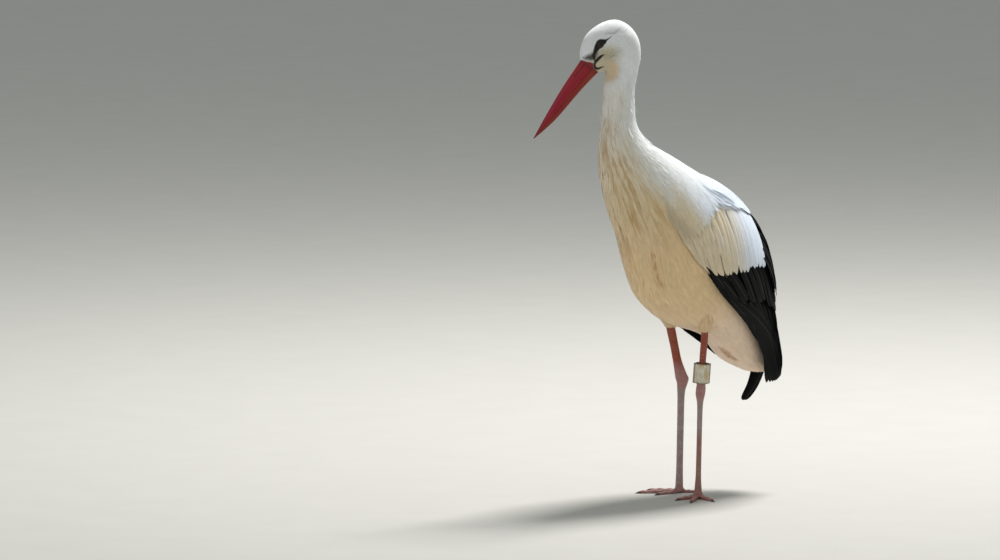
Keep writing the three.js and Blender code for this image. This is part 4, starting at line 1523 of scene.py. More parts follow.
@dataclass
class Bill:
    """The long straight bill: two halves that meet along the tomium, with nostril slits."""

    culmen: tuple = ((72.5, 796.5), (106, 748), (139, 693.5), (158, 659.5))
    tomium: tuple = ((54, 785), (91, 739), (128, 694), (157.6, 659))
    keel: tuple = ((40, 775.5), (72, 743), (118, 692), (157, 658.5))
    base: float = 12.6
    tip: float = 1.1
    nostril: Chain = Chain(
        ((66.5, 790.0, 1.0625), (70, 786, 1.0625), (80, 774.5, 1.0625), (83.5, 770, 1.0625)), 0.6375, 120
    )
    nostril_deep: float = 0.9
    rows: int = 300
    around: int = 144

    def half_width(self, s: Array) -> Array:
        """The half width at s, narrowing as s^0.85."""
        return self.base + (self.tip - self.base) * np.clip(s, 0, 1) ** 0.85

    def mandible(self, half: Half) -> MeshData:
        """One half: from the tomium over the ridge and back by (cos)^0.8 of the turn, its closing
        side hollowed a little; the upper half has the nostrils, the lower a groove under its base.

        Args:
            half: Which half.

        Returns:
            The closed half with its colours.
        """
        s, turn = np.linspace(0, 1, self.rows)[:, None], turns(self.around)
        line = self.culmen if half is Half.UPPER else self.keel
        ridge = catmull_rom(np.array(line), s[:, 0])[:, None]
        shut = catmull_rom(np.array(self.tomium), s[:, 0])[:, None]
        shut = shut + unit(ridge - shut) * 0.06
        rise = np.maximum(0, np.cos(turn)) ** 0.8
        closing = np.minimum(0, np.cos(turn)) * -0.5 * (1 - s) ** 0.5
        place = shut + (ridge - shut) * rise[..., None] + unit(ridge - shut) * closing[..., None]
        side = self.half_width(s) * rounded(np.sin(turn), 1.8)
        forward, up = place[..., 0], place[..., 1]
        grain = lattice_noise(turn * 6.5 + 3 * s, s * 5, 11) - 0.5
        flute = 0.10 * np.sin(turn * 14 + 2.5 * s) * (1 - s)
        if half is Half.UPPER:
            inward = self.nostril_deep * self.nostril.cover(forward, up)
        else:
            inward = 0.5 * np.exp(-(((rise - 0.55) / 0.12) ** 2)) * (1 - s)
        lip = ramp(np.abs(np.sin(turn)), 0.93, 1.0) * 0.25 * (1 - s)
        out = grain * 0.22 + flute - inward + lip
        side = side + np.sign(side) * np.minimum(out, 0.6) * np.minimum(np.abs(side), 1.0)
        points = BODY.from_head(forward, side, up)
        return closed_tube(points, self.colours(half, s, turn, self.nostril.cover(forward, up), grain))

    def colours(self, half: Half, s: Array, turn: Array, nostril: Array, grain: Array) -> Array:
        """Crimson above and brick red below, browner at the tip and dusky at the base, with painted shade in
        the nostrils and a painted highlight along the lower half's keel.

        Args:
            half: Which half.
            s: Shares of the run to the tip.
            turn: Angles round the half.
            nostril: 1 in the nostrils and 0 off them.
            grain: The horn's grain, from -0.5 to 0.5.

        Returns:
            Linear colours.
        """
        if half is Half.UPPER:
            deep, warm = srgb(0.57, 0.06, 0.17), srgb(0.60, 0.11, 0.15)
            # painted shade in the nostril slits
            painted_light = (srgb(0.20, 0.03, 0.06), 0.5 * nostril)
        else:
            deep, warm = srgb(0.52, 0.08, 0.05), srgb(0.56, 0.17, 0.10)
            # painted highlight: a pale strip along the lower half's keel, towards the base
            painted_light = (srgb(0.80, 0.62, 0.48), 0.7 * ramp(np.cos(turn), 0.90, 0.99) * (1 - ramp(s, 0.3, 0.9)))
        pale = ramp(lattice_noise(turn * 9, s * 60, 6), 0.78, 0.95) * ramp(s, 0.86, 0.94)
        return painted(
            deep, (warm, ramp(grain + 0.25 * np.sin(9 * s), -0.3, 0.5)),
            (srgb(0.42, 0.16, 0.11), 0.55 * ramp(s, 0.55, 1.0)),
            (srgb(0.33, 0.06, 0.07), 0.5 * (1 - ramp(s, 0.0, 0.1))),
            painted_light, (srgb(0.86, 0.80, 0.76), 0.7 * pale),
        )


@dataclass(frozen=True)
class HornFinish:
    """Satin horn with a fine lengthwise grain and scuffs."""

    name: str = "bill_horn"
    roughness: float = 0.34

    def material(self) -> bpy.types.Material:
        """The tint with scuffs that turn it dull, and fine pits.

        Returns:
            The material.
        """
        g = Graph(self.name)
        scuff = g.noise(g.stretched((1.0, 1.0, 0.35)), 260.0, 4.0)
        worn = scuff.ramp(0.52, 0.75)
        base = g.mix(worn * 0.12, g.tint(), srgb(0.55, 0.33, 0.27))
        height = scuff * 0.6 + g.noise(g.place(), 1400.0) * 0.4
        return g.done(
            Base_Color=base, Roughness=self.roughness + worn * 0.22 + scuff * 0.08,
            Normal=g.bump(height, 0.00025, 0.5), Specular_IOR_Level=0.35,
        )


# ---------------------------------------------------------------- wings and tail


@dataclass
class Wing:
    """The feathers of a folded wing: shingled white coverts, then black flight feathers."""

    form: WingForm
    finger: VaneShape = VaneShape(14, 7, 0.75, 0.8, (2.4, 0.5), 0.16, 0.12, 0.06, 2.0)
    small: VaneShape = VaneShape(6, 3, 0.5, 0.5, (2.0, 0.65), 0.02, 0.04)
    flight: VaneShape = VaneShape(16, 7, 0.6, 0.8, (2.4, 0.55), 0.05, 0.16, 0.2, 1.7)
    # the long coverts' rows: share of the way to the white's end, length, half width
    fingers: tuple = (
        (1.0, 156, 7.2), (0.94, 150, 6.8), (0.80, 84, 5.6), (0.62, 70, 5.0), (0.44, 58, 4.6), (0.24, 50, 4.3),
    )
    small_rows: int = 30
    tip_reach: float = 0.955
    tip_peak: float = 1.0  # the place across the wing of the longest primaries
    tip_drop: float = 0.06
    low_edge: float = 0.97  # the lowest secondary's place across the wing
    root_run: float = 75.0  # how much longer the lowest primaries are, in millimetres
    hanging: tuple = ()  # quills that hang below the lower edge: tip, its place across, run along
    crossed: tuple = ()  # the line of the primaries that reach across behind the tail

    def paths(
        self, p: Array, q: Array, length: Array, shape: VaneShape, hang: Array, inset: float
    ) -> tuple[Array, Array, Array, Array]:
        """Shafts that end at given tips: back from each tip against a way between the wing's own
        and straight down.

        Args:
            p: The tips' places along the wing.
            q: The tips' places across it.
            length: The shafts' lengths.
            shape: The vane's shape.
            hang: How far each shaft turns from the wing's way to straight down.
            inset: How far inside the hem the shafts stay.

        Returns:
            The shafts' points, normals, and places along and across.
        """
        _, along, _, _ = self.form.frame(p - 0.04, q)
        flow = unit(along) * (1 - hang)[:, None] + np.array([0.0, 0.0, -1.0]) * hang[:, None]
        p, q = self.form.lay(p, q, flow, length, shape.shares - 1)
        q = np.clip(np.minimum(q, self.form.hem(p) - inset), -0.05, 1.05)
        centre, _, _, normal = self.form.frame(p, q)
        return centre, normal, p, q

    def places(
        self, end: Callable, low: float, space: float, odd: int, jitter: float, spare: float,
        rng: np.random.Generator,
    ) -> tuple[Array, Array]:
        """The tips of one row of coverts, evenly spaced from a place across to the lower edge.

        Args:
            end: Where the row ends along the wing, by place across.
            low: The least place across.
            space: The space between neighbours.
            odd: 0 or 1; odd rows are set half a space on.
            jitter: How far each tip strays along the wing.
            spare: How far past the hem tips are kept.
            rng: The random numbers.

        Returns:
            The tips' places along and across.
        """
        q = np.linspace(low, 1.0, 200)
        arc = np.linalg.norm(np.diff(self.form.point(end(q), q), axis=0), axis=1).sum()
        count = max(4, int(arc / space))
        q = low + (1.0 - low) * (np.arange(count) + 0.5 * odd + 0.1 + rng.normal(0, 0.14, count)) / count
        p = end(q) + rng.normal(0, jitter, count)
        keep = q < self.form.hem(p) + spare
        return p[keep], q[keep]

    def homes(self, p: Array, q: Array) -> Array:
        """The roots' places on the wing's unwrap, of shafts given by their places."""
        return np.stack([(q[:, 0] + 0.1) / 1.3, p[:, 0].clip(0, 1)], -1)

    def feathers(
        self, p: Array, q: Array, length: float, half: float, shape: VaneShape, hang: Array, deep: float,
        lift: Array, rng: np.random.Generator,
    ) -> MeshData:
        """One row of coverts: each shaft starts deep under the surface and comes up to lift above
        it, as (1 - s)^1.2 and s^2.5.

        Args:
            p: The tips' places along the wing.
            q: The tips' places across it.
            length: The row's length.
            half: The row's half width.
            shape: The vane's shape.
            hang: How far each shaft turns to straight down.
            deep: How far under the surface the roots lie.
            lift: How far each tip stands off it.
            rng: The random numbers.

        Returns:
            The row's mesh.
        """
        count, shares = len(p), shape.shares
        lengths = length * rng.uniform(0.9, 1.1, count)
        centre, normal, along, across = self.paths(p, q, lengths, shape, hang, 0.02)
        rise = -deep * (1 - shares) ** 1.2 + lift[:, None] * shares**2.5 - self.form.tucked(along, across)
        middle = shape.rows // 2
        tint = self.covert_tint(along[:, middle], across[:, middle], rng)
        roll = rng.normal(0, 0.04, count) + 0.12 * lift * rng.normal(0, 1, count)
        width = half * rng.uniform(0.9, 1.1, count)
        return shape.grow(centre, normal, width, rise, tint, self.homes(along, across), roll)

    def coverts(self, rng: np.random.Generator) -> MeshData:
        """Long white fingers that hang over the flight feathers, and over their roots the small
        feathers of mantle and shoulder, whose last rows stand up a little in a ragged line.

        Args:
            rng: The random numbers.

        Returns:
            The coverts' mesh.
        """
        form, parts = self.form, []
        for k, (share, length, half) in enumerate(self.fingers):

            def end(q: Array, share: float = share) -> Array:
                """Where the row ends: a share of the way from the mantle's end to the shield's."""
                return form.mantle_end(q) + (form.shield_end(q) - form.mantle_end(q)) * share

            low = 0.56 if share > 0.9 else 0.72
            p, q = self.places(end, low, half * 1.3, k % 2, 0.007, 0.02, rng)
            hang = ramp(q, 0.3, 0.56) * (1 - 0.75 * ramp(q, 0.76, 0.9)) * (0.6 + 0.4 * share)
            lift = rng.uniform(0.0, 0.25, len(p))
            parts.append(self.feathers(p, q, length, half, self.finger, hang, 3.4, lift, rng))
        for k in range(self.small_rows):
            f = 1 - (k + 0.5) / self.small_rows

            def end(q: Array, f: float = f) -> Array:
                """Where the row ends: a share of the way to the mantle's end."""
                return form.mantle_end(q) * (0.03 + 0.97 * f)

            p, q = self.places(end, -0.03, 2.9 + 1.6 * f, k % 2, 0.008, 0.05, rng)
            ruffled = ramp(0.12 - np.abs(q - 0.4), 0.0, 0.1) * (k < 3)
            lift = rng.uniform(0.0, 0.04, len(p)) + ruffled * rng.uniform(0.2, 2.2, len(p))
            hang = 0.35 * ramp(q, 0.3, 0.56) * (1 - ramp(q, 0.76, 0.9)) * f
            parts.append(self.feathers(p, q, 26 + 40 * f, 2.7 + 2.0 * f, self.small, hang, 0.7, lift, rng))
        return MeshData.join(parts)

    def covert_tint(self, p: Array, q: Array, rng: np.random.Generator) -> Array:
        """White, with a painted bluish shade over the wing, and stained towards the lower front edge.

        Args:
            p: The feathers' places along the wing.
            q: Their places across it.
            rng: The random numbers.

        Returns:
            A linear colour for each feather.
        """
        stained = ramp(q, 0.55, 0.75) * ramp(p, 0.0, 0.14) * (1 - 0.35 * ramp(p, 0.42, 0.6))
        # painted shade: a bluish tint over the wing, away from the shoulder
        painted_blue_shade = (srgb(0.84, 0.88, 0.94), ramp(p, 0.05, 0.3))
        tint = painted(MARKINGS.white, painted_blue_shade, (MARKINGS.tan, 0.82 * stained))
        return tint * rng.normal(1, 0.035, len(p))[:, None]

    def secondary_end(self, q: Array) -> Array:
        """Where the tertials and secondaries end: level, then sooner and sooner below q 0.62."""
        return 0.665 - 0.853 * np.maximum(0, q - 0.625)

    def primary_end(self, q: Array) -> Array:
        """Where the primaries end: furthest at one place across, less by drop on either side."""
        return self.tip_reach - self.tip_drop * np.abs(q - self.tip_peak) ** 1.5

    def quills(self, rng: np.random.Generator) -> MeshData:
        """The black tertials and secondaries, and the primaries under them. In each fan a feather
        lies over the next one down: it is rolled a little so that its lower edge stands out.

        Args:
            rng: The random numbers.

        Returns:
            The flight feathers' mesh.
        """
        fans = (  # count, from q, to q, half width, length, longer below, depth, bulge, hang, ends
            (6, -0.02, 0.28, 12.0, 172.0, 0.0, 0.0, 4.0, 0.0, self.secondary_end),
            (4, 0.28, 0.50, 12.0, 135.0, 0.0, 0.0, 4.0, 0.0, self.secondary_end),
            (17, 0.34, self.low_edge, 11.0, 112.0, -25.0, -2.5, 0.0, 0.45, self.secondary_end),
            (16, 0.05, 0.92, 14.0, 180.0, 0.0, -9.0, 0.0, 0.2, lambda v: self.primary_end(v) - 0.12),
            (22, 0.06, 1.02, 9.0, 165.0, self.root_run, -5.5, 0.0, 0.12, self.primary_end),
        )
        parts = []
        for count, low, high, half, length, more, depth, bulge, hang, end in fans:
            q = low + (high - low) * (np.arange(count) + 0.4) / count
            tip = end(q) + rng.normal(0, 0.006, count)
            lengths = (length + more * ramp(q, 0.6, 0.95)) * rng.uniform(0.97, 1.03, count)
            turn = hang * ramp(q, 0.3, 0.56) * (1 - ramp(q, 0.76, 0.92))
            centre, normal, p, across = self.paths(tip, q, lengths, self.flight, turn, half / 260)
            shares = self.flight.shares
            rise = depth - 7.0 * (1 - shares) ** 1.5 + bulge * np.sin(np.pi * shares)
            rise = rise + rng.uniform(0, 0.6, count)[:, None] - 0.5 * self.form.tucked(p, across)
            parts.append(self.black(centre, normal, half, rise, p, across, -0.12 * self.form.side.value, rng))
        parts += self.stray_quills(rng)
        return MeshData.join(parts)

    def stray_quills(self, rng: np.random.Generator) -> list[MeshData]:
        """Quills that hang below the lower edge with sunk roots, and quills that cross behind the
        tail, spread about one line.

        Args:
            rng: The random numbers.

        Returns:
            Their meshes, none where the wing has no such quills.
        """
        parts: list[MeshData] = []
        back = 1 - self.flight.shares
        if self.hanging:
            tip, q, run = np.array(self.hanging).T
            p = tip[:, None] - run[:, None] * back
            across = q[:, None] + 0 * p
            centre, _, _, normal = self.form.frame(p, across)
            rise = -0.5 - 5.0 * back**1.5 + 0 * p
            parts.append(self.black(centre, normal, 7.0, rise, p, across, 0.05, rng))
        if self.crossed:
            count = 5
            spread = np.linspace(-1, 1, count)[:, None] * back[None] ** 0.8 * 9.0
            aside = np.array([0.7, -0.7, 0.1])
            line = catmull_rom(np.array(self.crossed, float), self.flight.shares)
            centre = line[None] + spread[..., None] * aside + rng.normal(0, 1.0, (count, 1, 1)) * aside
            normal = np.broadcast_to(unit(np.array([-0.55, -0.83, 0.1])), centre.shape)
            rise = np.arange(count)[:, None] * 0.7 + 0 * spread
            parts.append(self.black(centre, normal, 6.0, rise, 0 * spread + 0.9, 0 * spread + 0.2, 0.1, rng))
        return parts

    def black(
        self, centre: Array, normal: Array, half: float, rise: Array, p: Array, q: Array, roll: float,
        rng: np.random.Generator,
    ) -> MeshData:
        """Black quills along given shafts.

        Args:
            centre: The shafts' points.
            normal: The normals there.
            half: The half width.
            rise: How far the shafts lie above those points.
            p: Their places along the wing.
            q: Their places across it.
            roll: How far each turns about its shaft.
            rng: The random numbers.

        Returns:
            Their mesh.
        """
        count = len(centre)
        tint = np.tile(MARKINGS.quill, (count, 1)) * rng.normal(1, 0.12, count)[:, None]
        half, roll = np.full(count, half), np.full(count, roll)
        return self.flight.grow(centre, normal, half, rise, tint, self.homes(p, q), roll)


PLUMAGE = {
    Side.LEFT: Wing(WINGS[Side.LEFT]),
    Side.RIGHT: Wing(
        WINGS[Side.RIGHT], tip_reach=0.95, tip_peak=0.1, tip_drop=0.28, low_edge=0.86, root_run=0.0,
        hanging=(
            (0.83, 0.89, 0.28), (0.82, 0.915, 0.28), (0.81, 0.94, 0.27), (0.80, 0.97, 0.26),
            (0.79, 0.985, 0.255), (0.78, 1.0, 0.245), (0.76, 1.015, 0.22), (0.75, 1.025, 0.19),
        ),
        crossed=(
            (197.0, 10.0, 258.0), (192.0, 9.8, 230.0), (184.0, 9.9, 204.0), (173.4, 12.4, 180.8),
            (160.3, 19.6, 157.9),
        ),
    ),
}


@dataclass
class TailSheet(Surface):
    """The sheet that the tail's quills lie in: p from their roots to the tips, q from -1 to 1."""

    def point(self, p: Array, q: Array, grow: Array | float = 0.0) -> Array:
        """The middle between the tail's back and front lines, spread to its half width and drooping
        towards the sides as q^2.

        Args:
            p: Places from root to tip.
            q: Places across, 0 in the middle.
            grow: How far behind the sheet, in millimetres.

        Returns:
            The points, in design millimetres.
        """
        p, q = np.broadcast_arrays(np.asarray(p, float), np.asarray(q, float))
        u = BODY.station("vent") + p * (1 - BODY.station("vent"))
        bx, bz, fx, fz, half, _, _ = np.moveaxis(catmull_rom(BODY.curves, u), -1, 0)
        share = 0.40 + 0.12 * q**2
        reach = unit(np.stack([bx - fx, bz - fz], -1))
        x = bx + (fx - bx) * share + reach[..., 0] * grow
        z = bz + (fz - bz) * share + reach[..., 1] * grow
        return np.stack([x, half * q * 0.82, z], -1)


@dataclass
class Tail:
    """Twelve broad white quills, the outer ones under the inner."""

    count: int = 12
    half: float = 9.5
    shape: VaneShape = VaneShape(12, 7, 0.6, 0.75, (2.8, 0.5), 0.1, 0.2, 0.35)

    def quills(self, rng: np.random.Generator) -> MeshData:
        """The fan of quills.

        Args:
            rng: The random numbers.

        Returns:
            Their mesh.
        """
        sheet = TailSheet()
        q = (np.arange(self.count) + 0.5) / self.count * 2 - 1
        shares = self.shape.shares
        p = -0.1 + (1.1 + 0.015 * np.abs(q[:, None]) ** 2) * shares
        centre, _, _, normal = sheet.frame(p, q[:, None] * (0.5 + 0.5 * shares))
        rise = np.tile(-3.3 * np.abs(q)[:, None], (1, len(shares))) + 1.0
        tint = np.tile(srgb(0.90, 0.89, 0.87), (self.count, 1)) * rng.normal(1, 0.02, self.count)[:, None]
        home = np.stack([(q + 1) / 2, np.full(self.count, BODY.station("vent"))], -1)
        half, roll = np.full(self.count, self.half), 0.08 * np.sign(q)
        return self.shape.grow(centre, normal, half, rise, tint, home, roll)


# ---------------------------------------------------------------- legs, feet and ring


def hex_scales(x: Array, y: Array, soft: float = 0.16) -> tuple[Array, Array]:
    """Six-sided scales one unit apart: how far each place stands up in its scale, and a number that
    is the same all over one scale. The height is a smooth step of the distance to the wall between
    the nearest and the second nearest centre of a lattice of staggered rows.

    Args:
        x: Places round the leg, in scales.
        y: Places along it, in scales.
        soft: How wide the groove between scales is.

    Returns:
        Heights from 0 to 1, and a number from 0 to 1 for each scale.
    """
    row_high = math.sqrt(3) / 2
    near = np.full(np.shape(x), np.inf)
    second = near.copy()
    name = np.zeros(np.shape(x))
    base = np.floor(y / row_high)
    for dr in (-1, 0, 1, 2):
        row = base + dr
        lean = 0.5 * (row % 2)
        for dc in (-1, 0, 1, 2):
            col = np.floor(x - lean) + dc
            far = np.hypot(x - lean - col, y - row * row_high)
            closer = far < near
            second = np.where(closer, near, np.minimum(second, far))
            own = np.sin(col * SCALE_HASH[0] + row * SCALE_HASH[1]) * SCALE_HASH[2] % 1
            name = np.where(closer, own, name)
            near = np.minimum(near, far)
    return ramp((second - near) / 2, 0.0, soft), name


@dataclass(frozen=True)
class Toe:
    """One toe: its length without the claw, its turn from the middle toe and its thickness."""

    name: str
    length: float
    turn: float
    radius: float


@dataclass
class Leg:
    """A leg from the thigh's feathers to the claws, with one scaly skin."""

    side: Side
    hip: tuple[float, float, float]
    knee: tuple[float, float, float]
    ankle: tuple[float, float, float]
    foot: tuple[float, float, float]
    yaw: float
    brick_tarsus: float  # how far down the tarsus the grey gives way to brick red; 1 is never
    toes: tuple = (
        Toe("middle", 70, 0, 4.6), Toe("inner", 50, 34, 4.2), Toe("outer", 58, -36, 4.3),
        Toe("hind", 26, 176, 4.0),
    )
    scales_round: int = 14
    scale_high: float = 2.5
    relief: float = 0.22
    rows: int = 620
    around: int = 84
    # rows of a bone (0 thigh, 1 shin, 2 tarsus), a share of the way down it, how far the leg's middle
    # is set back there against the toes, half its depth and half its width
    thigh_rows: tuple = (
        (0, 0.0, 0, 34, 20), (0, 0.4, 0, 31, 21), (0, 0.62, 0, 27, 21.5), (0, 0.8, 0, 20, 16.5),
        (0, 0.92, 0, 13, 11), (0, 1.02, 0, 9.0, 8.0),
    )
    shin_rows: tuple = (
        (0, 0.70, 0, 6.6, 5.2), (0, 1.02, 0, 7.9, 6.2), (1, 0.35, 0, 7.5, 5.9), (1, 0.62, 0, 7.9, 5.9),
        (1, 0.86, 1.5, 10.5, 7.7), (1, 0.95, 2.3, 11.8, 8.5), (1, 1.03, 1.2, 9.8, 8.2),
        (2, 0.085, 0.3, 7.3, 5.8), (2, 0.16, 0, 6.3, 4.8), (2, 0.33, 0, 6.0, 4.5), (2, 0.5, 0, 5.9, 4.4),
        (2, 0.68, 0, 5.9, 4.5), (2, 0.84, 0, 6.0, 4.8), (2, 0.94, 0, 6.6, 6.0), (2, 1.02, 0, 7.0, 7.2),
    )
    claw_long: float = 10.6
    claw_half: float = 2.5

    def limb(self, rows: tuple) -> LimbForm:
        """A limb through rows as thigh_rows describes them.

        Args:
            rows: The rows.

        Returns:
            The limb's form.
        """
        joints = np.array([self.hip, self.knee, self.ankle, self.foot], float)
        away = np.array([math.cos(self.yaw), -math.sin(self.yaw), 0])
        stations = []
        for bone, share, back, deep, wide in rows:
            at = joints[bone] * (1 - share) + joints[bone + 1] * share + away * back
            stations.append((*at, deep, wide))
        return LimbForm(tuple(stations), self.yaw)

    def thigh(self) -> LimbForm:
        """The feathered thigh."""
        return self.limb(self.thigh_rows)

    def colour(self, points: Array, scale: Array, groove: Array) -> Array:
        """Brick red shin, pink ankle, lilac-grey tarsus and reddish foot, chalky in patches.

        Args:
            points: Places on the skin.
            scale: A number for each scale.
            groove: How deep each place lies between scales.

        Returns:
            Linear colours.
        """
        x, y, z = np.moveaxis(points, -1, 0)
        top, low = self.ankle[2], self.foot[2]
        broad = lattice_noise(x * 0.22 + y * 0.31, z * 0.12, 31)
        flecks = lattice_noise(x * 0.9 + y * 0.8, z * 0.8, 33)
        lilac = blend(srgb(0.68, 0.60, 0.58), srgb(0.60, 0.53, 0.52), broad)
        drop = top - (top - low) * self.brick_tarsus
        brick = blend(srgb(0.56, 0.32, 0.26), srgb(0.62, 0.40, 0.34), broad)
        chalk = ramp(flecks, 0.55, 0.95) * (0.3 + 0.5 * ramp(z, top, top - 40))
        colour = painted(
            srgb(0.57, 0.19, 0.06), (srgb(0.61, 0.27, 0.13), broad),
            (srgb(0.68, 0.49, 0.47), ramp(z, top + 44, top + 16)), (lilac, ramp(z, top - 4, top - 22)),
            (brick, ramp(z, drop + 18, drop - 14) * (0.55 + 0.45 * flecks)),
            (srgb(0.64, 0.38, 0.36), 0.7 * ramp(z, 26, 8)), (srgb(0.80, 0.75, 0.73), 0.5 * chalk),
        )
        return blend(colour * (0.88 + 0.24 * scale)[..., None], srgb(0.33, 0.20, 0.18), 0.55 * groove)

    def shin_skin(self) -> MeshData:
        """The tube of the bare leg: scales stand up by relief over the loft, larger ones in front.

        Returns:
            The tube with its colours.
        """
        form = self.limb(self.shin_rows)
        round_leg = np.arange(self.around) / self.around
        p, q = np.meshgrid(np.linspace(0, 1, self.rows), round_leg, indexing="ij")
        at = form.point(p, q)
        run = np.linalg.norm(np.diff(form.point(p[:, :1], q[:, :1])[:, 0], axis=0), axis=1)
        along = np.concatenate([[0], np.cumsum(run)])[:, None]
        wander = 0.35 * (lattice_noise(q * 0 + along * 0.12, q * 4 % 4, 17) - 0.5)
        height, name = hex_scales(q * self.scales_round + wander, along / self.scale_high + wander, 0.17)
        front = 0.5 + 0.5 * np.cos(2 * np.pi * q)
        sinew = np.exp(-(((np.abs(((q + 0.25) % 0.5) - 0.25) - 0.12) / 0.04) ** 2)) * 0.35 * (1 - front)
        fold = self.ankle_folds(at)
        grow = self.relief * height * (0.75 + 0.35 * front) - sinew + fold
        points = form.point(p, q, grow)
        return closed_tube(points, self.colour(points, name, 1 - height))

    def ankle_folds(self, at: Array) -> Array:
        """Shallow creases across the ankle, deepest in front and behind."""
        z = at[..., 2] - self.ankle[2]
        return 0.22 * np.sin(z * 1.25) * np.exp(-((z / 11) ** 2))

    def toe_way(self, toe: Toe) -> Array:
        """The way a toe points along the floor."""
        turn = self.yaw - math.radians(toe.turn) * self.side.value
        return np.array([-math.cos(turn), math.sin(turn), 0.0])

    def joint(self) -> Array:
        """The floor under the toes' joint."""
        return np.array([self.foot[0], self.foot[1], 0.0])

    def on_floor(self, toe: Toe, run: Array, wide: Array, high: Array) -> Array:
        """Places along a toe's way from the joint, to its side and up, none below the floor.

        Args:
            toe: The toe.
            run: How far along its way they are.
            wide: How far to its side.
            high: How far up, before the floor stops them.

        Returns:
            The points, in design millimetres.
        """
        way = self.toe_way(toe)
        aside = np.array([-way[1], way[0], 0.0])
        points = self.joint() + run[..., None] * way + wide[..., None] * aside
        points[..., 2] = np.maximum(0.0, high)
        return points

    def digit(self, toe: Toe) -> MeshData:
        """A toe: rings of half height size(s) about a middle lifted by 0.66 of it and pressed flat
        on the floor, with joints that swell by a cosine, scutes across its top, pads below and a
        rounded end; size(s) is the radius times 1.12 - 0.4 s times that swelling.

        Args:
            toe: Which toe.

        Returns:
            The closed toe with its colours.
        """
        s, turn = np.linspace(-0.05, 1, 240)[:, None], turns(44)
        share = np.clip(s, 0, 1)
        size = toe.radius * (1.12 - 0.40 * share) * (1 + 0.1 * np.cos(6 * np.pi * share))
        end = np.sqrt(np.clip(1 - ((s - 0.93) / 0.0701).clip(0, 1) ** 2, 0.0, 1)) * 0.45 + 0.55
        end = np.where(s > 0.93, end, 1.0)
        side, up = np.cos(turn), np.sin(turn)
        top = ramp(up, 0.0, 0.6)
        beat = s * toe.length / 3.1
        scute = np.abs((beat % 1) - 0.5) * 2
        plate = (1 - ramp(scute, 0.72, 1.0)) * top
        pebbles, name = hex_scales((turn / (2 * np.pi) * 16) + 0 * s, s * toe.length / 1.7 + 0 * turn, 0.2)
        relief = 0.24 * plate + 0.16 * pebbles * (1 - top)
        reach = size * end + relief - 0.24
        lift = (0.66 * size) * (0.55 + 0.45 * end)
        points = self.on_floor(toe, s * toe.length, reach * side, lift + reach * up)
        groove = np.where(top > 0.5, 1 - plate, 1 - pebbles)
        own = np.sin(np.floor(beat) * SCUTE_HASH[0]) * SCUTE_HASH[1] % 1
        number = np.where(top > 0.5, own, name)
        return closed_tube(points, self.colour(points, number, groove))

    def web(self, a: Toe, b: Toe) -> MeshData:
        """Skin between two toes near their joint: between the ways it sags back as 4 t (1 - t).

        Args:
            a: One toe.
            b: The other.

        Returns:
            The closed web with its colours.
        """
        s, t = np.meshgrid(np.linspace(0, 1, 30), np.linspace(0, 1, 30), indexing="ij")
        way = unit(blend(self.toe_way(a), self.toe_way(b), t))
        reach = (20 - 8 * 4 * t * (1 - t)) * s
        points = self.joint() + way * reach[..., None]
        hill = 1.3 + 2.6 * (1 - s) ** 1.5 + 1.1 * np.abs(2 * t - 1) ** 3
        wrinkle = 0.15 * np.sin(t * 26) * s
        top, bottom = points.copy(), points.copy()
        top[..., 2], bottom[..., 2] = hill + wrinkle + 0.9, np.maximum(0.2, hill - 1.2)
        fleck = lattice_noise(s * 14, t * 14, 9)
        return shell_between(top, bottom, self.colour(top, fleck, 0.4 * fleck))

    def pad(self) -> MeshData:
        """The swollen joint where the toes meet: a squashed ball, pressed flat on the floor.

        Returns:
            The closed pad with its colours.
        """
        tilt, turn = np.meshgrid(np.linspace(0.03, np.pi - 0.03, 80), turns(96)[0], indexing="ij")
        pebbles, name = hex_scales(turn / (2 * np.pi) * 22, tilt * 5.0, 0.18)
        reach = 9.0 + 0.25 * pebbles
        x, y = reach * np.sin(tilt) * np.cos(turn), 0.95 * reach * np.sin(tilt) * np.sin(turn)
        points = np.stack([x, y, np.maximum(0.0, 6.4 + 6.6 * np.cos(tilt) + 0.2 * pebbles)], -1)
        points = points + self.joint()
        return closed_tube(points, self.colour(points, name, 1 - pebbles))

    def skin(self) -> MeshData:
        """The whole bare leg with its foot.

        Returns:
            One mesh of all its parts.
        """
        parts = [self.shin_skin(), self.pad(), *(self.digit(t) for t in self.toes)]
        middle, inner, outer = self.toes[:3]
        return MeshData.join(parts + [self.web(middle, inner), self.web(middle, outer)])

    def claw(self, toe: Toe) -> MeshData:
        """A blunt claw: it thins as 1 - 0.82 s^1.4, arches by 1.6 (1 - s) s and lies on the floor.

        Args:
            toe: Whose claw it is.

        Returns:
            The closed claw with its colours.
        """
        s, turn = np.linspace(0, 1, 40)[:, None], turns(28)
        size = self.claw_half * (1 - 0.82 * s**1.4)
        lift = 0.8 * size + 1.6 * (1 - s) * s
        ridged = size * (1 + 0.03 * np.sin(s * 60) * ramp(np.sin(turn), 0, 1))
        run = toe.length - 0.8 + s * self.claw_long
        points = self.on_floor(toe, run, ridged * np.cos(turn), lift + ridged * np.sin(turn))
        shade = lattice_noise(s * 9, turn * 2, 2)
        tint = blend(srgb(0.20, 0.14, 0.13), srgb(0.42, 0.33, 0.29), 0.6 * shade + 0.4 * s)
        return closed_tube(points, tint)

